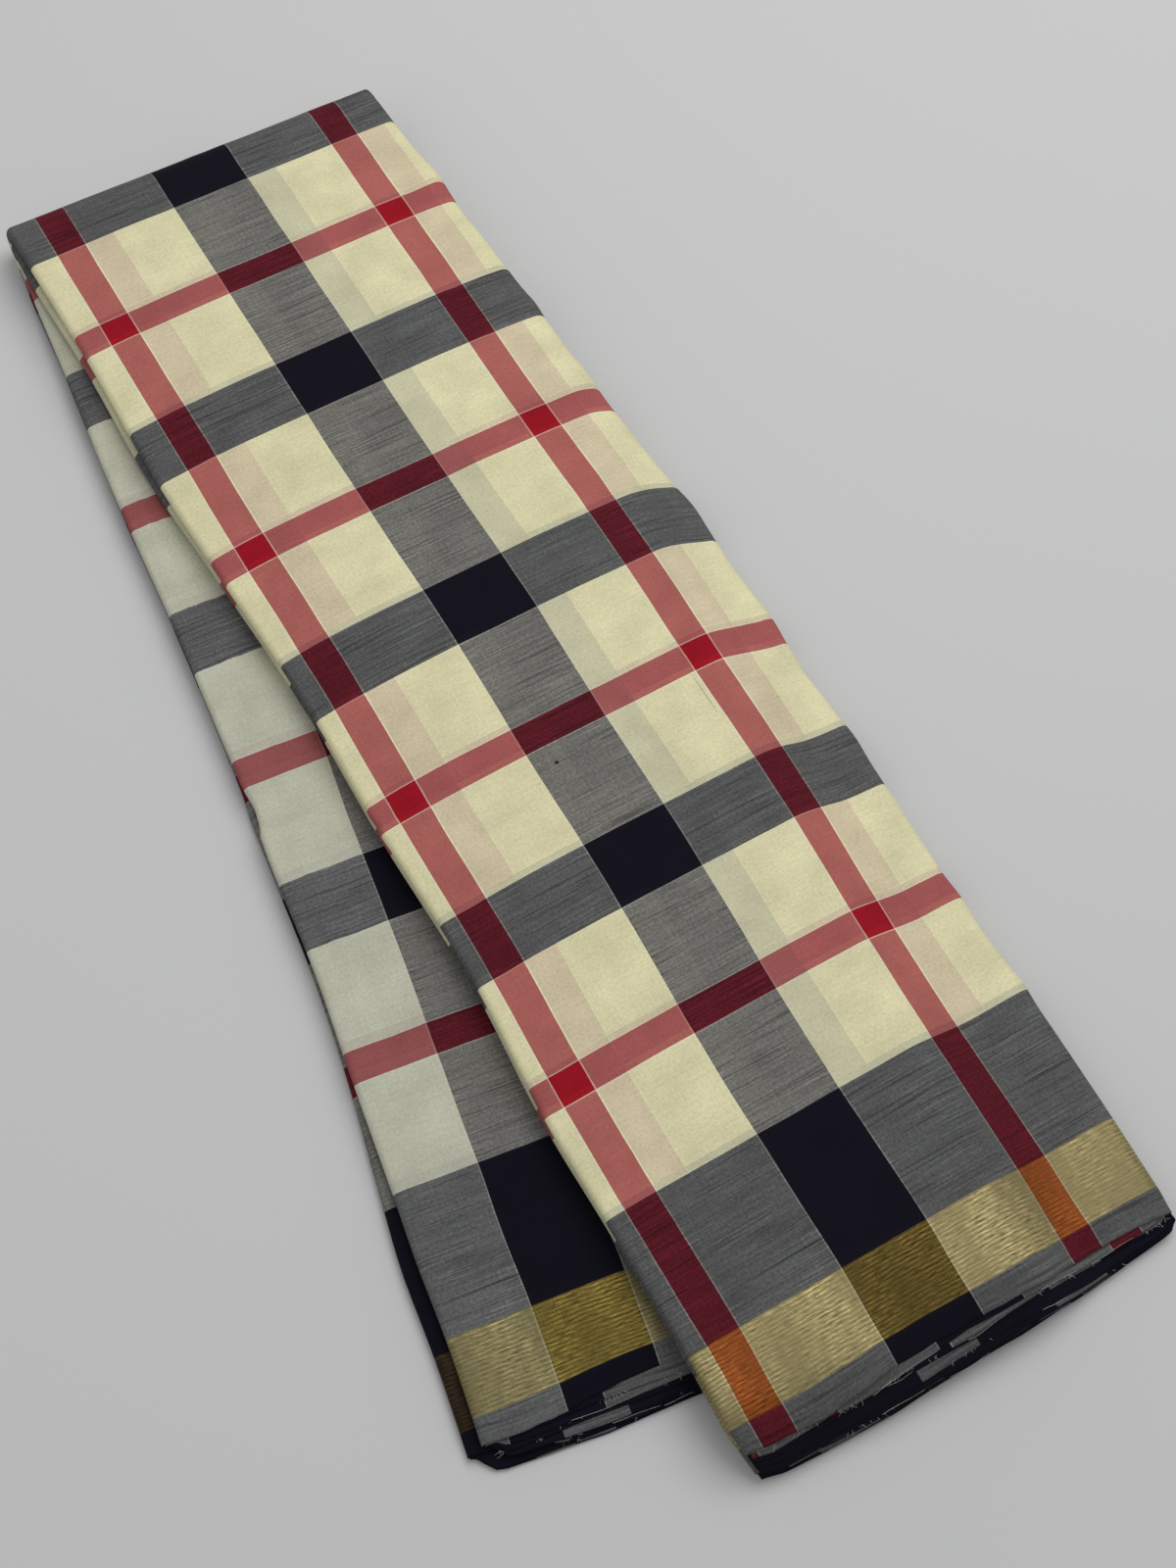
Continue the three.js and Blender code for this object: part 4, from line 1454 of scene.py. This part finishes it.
@dataclass(frozen=True)
class FoldedSaree:
    """The saree's stretches of cloth, its hidden layers and its frayed ends."""

    upper_end: float = UPPER_ROWS[-1].along
    lower_end: float = LOWER_ROWS[-1].along
    turn_start: float = 0.35  # the lower pieces start this far from the top fold
    turn_rows: int = 18
    half_turn: float = 18.0  # length of the hidden layers' cloth round half of the top fold

    def check(self) -> CheckedCloth:
        """The finish of the upper panel, with the same check in the ply below."""
        flaws = (OIL_SPECK, PULLED_THREAD)
        return CheckedCloth("cotton_silk_check", WEFT_REPEAT, WEFT_REPEAT, flaws=flaws)

    def check_over_navy(self) -> CheckedCloth:
        """The finish of the lower panel, whose next ply is navy and cools all its pale checks."""
        return CheckedCloth(
            "cotton_silk_check_over_navy",
            WEFT_REPEAT,
            END_REPEAT,
            under_shift=(-70.0, -4.0),
            under_show=0.4,
            cream="#d8d5ba",
            grey_across="#626261",
            gold_on_cream="#7d7450",
            gold_on_navy="#6d5e2b",
        )

    def check_painted_shade_roll(self) -> CheckedCloth:
        """The finish of the lower panel's second roll, whose zari turns away from the light.

        Its zari over navy is painted a darker brown there, as painted shade.
        """
        name = "cotton_silk_check_painted_shade_roll"
        # Painted shade: the zari over navy is darkened here.
        return replace(self.check_over_navy(), name=name, gold_on_navy="#33271a")

    def end_cloth(self) -> CheckedCloth:
        """The finish of the saree's navy end, which makes up the hidden layers."""
        return CheckedCloth("cotton_silk_navy_end", END_REPEAT, END_REPEAT)

    def turn_angles(self) -> list[float]:
        """Angles of the rows round the top fold."""
        return [math.pi * i / self.turn_rows for i in range(1, self.turn_rows + 1)]

    def rows(self, kind: type[Station], end: float, reach: float = 0.0) -> list[Station]:
        """A stretch's sections, from its selvedge to the top fold or near it.

        Args:
            kind: of section.
            end: where the panel's front ends.
            reach: how far the stretch passes that.

        Returns:
            The sections.
        """
        near = self.turn_start if kind is LowerStation else 0.0
        return [replace(kind.at(max(along, near)), end=end + reach) for along in stops(end + reach)]

    def stretches(self) -> list[tuple[Stretch, list[Station]]]:
        """Each stretch that shows, with its sections from the selvedge."""
        turn = [TurnStation.at(angle) for angle in self.turn_angles()]
        plain = Relief(UNDERSIDE_CREASES, swell=0.0, ripple=0.0, seed=3)
        names = ("upper_front_cloth", "upper_front", "front_cloth")
        relief = Relief(UPPER_FRONT_CREASES, seed=1)
        upper_front = Stretch(*names, front_section, relief, 66.0, UPPER_SELVEDGE)
        names = ("upper_second_cloth", "upper_second_stretch", "second_cloth")
        upper_second = Stretch(*names, second_section, plain, 48.0)
        lower_front = replace(
            upper_front,
            name="lower_front_cloth",
            node="lower_front",
            relief=Relief(LOWER_FRONT_CREASES, swell=0.3, ripple=0.26, seed=5),
            weft_start=95.0,
            selvedge=LOWER_SELVEDGE,
            foot=self.lower_end,
        )
        lower_second = replace(
            upper_second,
            name="lower_second_cloth",
            node="lower_second_stretch",
            relief=replace(plain, creases=()),
            weft_start=12.0,
            selvedge=ROUNDED_ROLL,
            foot=self.lower_end,
        )
        return [
            (upper_front, self.rows(UpperStation, self.upper_end) + turn),
            (upper_second, self.rows(UpperStation, self.upper_end, UPPER_SECOND_REACH) + turn),
            (lower_front, self.rows(LowerStation, self.lower_end)),
            (lower_second, self.rows(LowerStation, self.lower_end, LOWER_SECOND_REACH)),
        ]

    def hidden(self) -> list[tuple[HiddenLayers, list[float], FrayedEnds]]:
        """Each panel's hidden layers, the angles of its turn, and its frayed ends."""
        names = ("upper_pleated_layers", "upper_hidden_layers")
        form = (15, UPPER_LEAVES, UpperStation.at, self.upper_end)
        upper = HiddenLayers(*names, *form, seed=11, weft_start=53.0, half_turn=self.half_turn)
        names = ("lower_pleated_layers", "lower_hidden_layers")
        form = (13, LOWER_LEAVES, LowerStation.at, self.lower_end)
        lower = HiddenLayers(*names, *form, seed=23, weft_start=118.0, corners=(6.5, 2.0))
        return [
            (upper, self.turn_angles()[1::2], FrayedEnds("upper_frayed_ends_and_highlight", upper, 160, 12, seed=31)),
            (lower, [], FrayedEnds("lower_frayed_ends_and_highlight", lower, 140, 10, seed=37)),
        ]

    def build(self) -> None:
        """Makes and dresses every piece."""
        origin = plan_origin()
        LOG.info("the model's origin lies at %.2f, %.2f mm on the table", origin.x, origin.y)
        check = self.check().material()
        over_navy = self.check_over_navy().material()
        # The second roll's finish carries painted shade on its zari.
        painted_shade_roll = self.check_painted_shade_roll().material()
        navy_end = self.end_cloth().material()
        loose = LooseYarnAndHighlight().material()
        finishes = (check, check, over_navy, painted_shade_roll)
        for (stretch, stations), finish in zip(self.stretches(), finishes):
            piece = stretch.build(stations, origin)
            piece.data.materials.append(finish)
            edge = stretch.section(stations[0])
            width = (edge[-1].run - edge[0].run) * MM
            length = self.length_of(stations)
            self.hold(piece, stretch.node)
            LOG.info(FLAT_SIZE, piece.name, width, length)
        for layers, turns, frayed in self.hidden():
            piece = layers.build(turns, origin)
            piece.data.materials.append(navy_end)
            piece.data.materials.append(check)
            ends = frayed.build(origin)
            ends.data.materials.append(loose)
            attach(ends, "root")
            self.hold(piece, layers.node)
            width, length = layers.flat_size()
            LOG.info(FLAT_SIZE, piece.name, width, length)

    def length_of(self, stations: Sequence[Station]) -> float:
        """The length of a stretch from its selvedge, in metres, with half its turn."""
        turned = isinstance(stations[-1], TurnStation)
        return (stations[0].along + (math.pi * UPPER_THICKNESS / 2 if turned else 0)) * MM

    def hold(self, piece: bpy.types.Object, node: str) -> None:
        """Puts a piece on the one body, in place of its solid."""
        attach(piece, "root")
        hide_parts(node)


# ---------------------------------------------------------------- floor, light and camera


@dataclass(frozen=True)
class Studio:
    """A plain pale floor, soft light from above and a camera."""

    floor_size: float = 6.0
    floor_colour: str = "#c1c1c1"
    room_colour: tuple[float, float, float, float] = (0.98, 0.99, 1.0, 1.0)
    room_strength: float = 0.47
    camera_place: tuple[float, float, float] = (-140.93, -619.71, 751.72)  # mm on the table
    camera_right: tuple[float, float, float] = (0.865, -0.501, 0.032)
    camera_up: tuple[float, float, float] = (0.442, 0.791, 0.423)
    lens: float = 49.5

    def build(self) -> None:
        """Adds the floor, the lights and the camera."""
        self.add_floor()
        self.add_light("overhead", (0.7, 0.35, 1.45), 1.3, 17.5)
        self.add_light("side", (-1.1, -0.3, 0.9), 1.2, 1.8)
        world = bpy.data.worlds.new("soft_room")
        bpy.context.scene.world = world
        world.use_nodes = True
        back = next(n for n in world.node_tree.nodes if n.type == "BACKGROUND")
        back.inputs["Color"].default_value = self.room_colour
        back.inputs["Strength"].default_value = self.room_strength
        bpy.context.scene.view_settings.view_transform = "Standard"
        self.add_camera()

    def add_floor(self) -> None:
        """Adds the floor the cloth lies on."""
        bpy.ops.object.select_all(action="DESELECT")
        bpy.ops.mesh.primitive_plane_add(size=self.floor_size, location=(0, 0, 0))
        floor = bpy.context.active_object
        floor.name = "floor"
        paint = new_material("matt_paper_backdrop")
        colour = linear(self.floor_colour)
        look = {"Base Color": colour, "Roughness": 0.95, "Specular IOR Level": 0.1}
        shader = add_node(paint.node_tree, SHADER, look)
        add_node(paint.node_tree, OUTPUT, (shader,))
        floor.data.materials.append(paint)

    def add_light(self, name: str, place: tuple, size: float, power: float) -> None:
        """Adds a square soft light that faces the saree.

        Args:
            name: the light's name.
            place: where it stands, in metres.
            size: its side, in metres.
            power: in watts.
        """
        light = bpy.data.lights.new(name, "AREA")
        light.size, light.energy = size, power
        lamp = bpy.data.objects.new(name, light)
        lamp.location = place
        lamp.rotation_euler = (-Vector(place)).to_track_quat("-Z", "Y").to_euler()
        bpy.context.collection.objects.link(lamp)

    def add_camera(self) -> None:
        """Adds the camera, tilted some 25 degrees from straight down."""
        right = Vector(self.camera_right).normalized()
        up = Vector(self.camera_up)
        up = (up - right * up.dot(right)).normalized()
        turn = Matrix((right, up, right.cross(up))).transposed()
        camera = bpy.data.cameras.new("camera")
        camera.lens = self.lens
        camera.sensor_width = 36.0
        camera.clip_start = 0.02
        eye = bpy.data.objects.new("camera", camera)
        place = (Vector(self.camera_place) - plan_origin()) * MM
        eye.matrix_world = Matrix.Translation(place) @ turn.to_4x4()
        bpy.context.collection.objects.link(eye)
        bpy.context.scene.camera = eye


def main() -> None:
    """Builds the saree, its floor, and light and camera."""
    logging.basicConfig(level=logging.INFO, format="%(name)s: %(message)s")
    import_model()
    Studio().build()
    FoldedSaree().build()


if __name__ == "__main__":
    main()
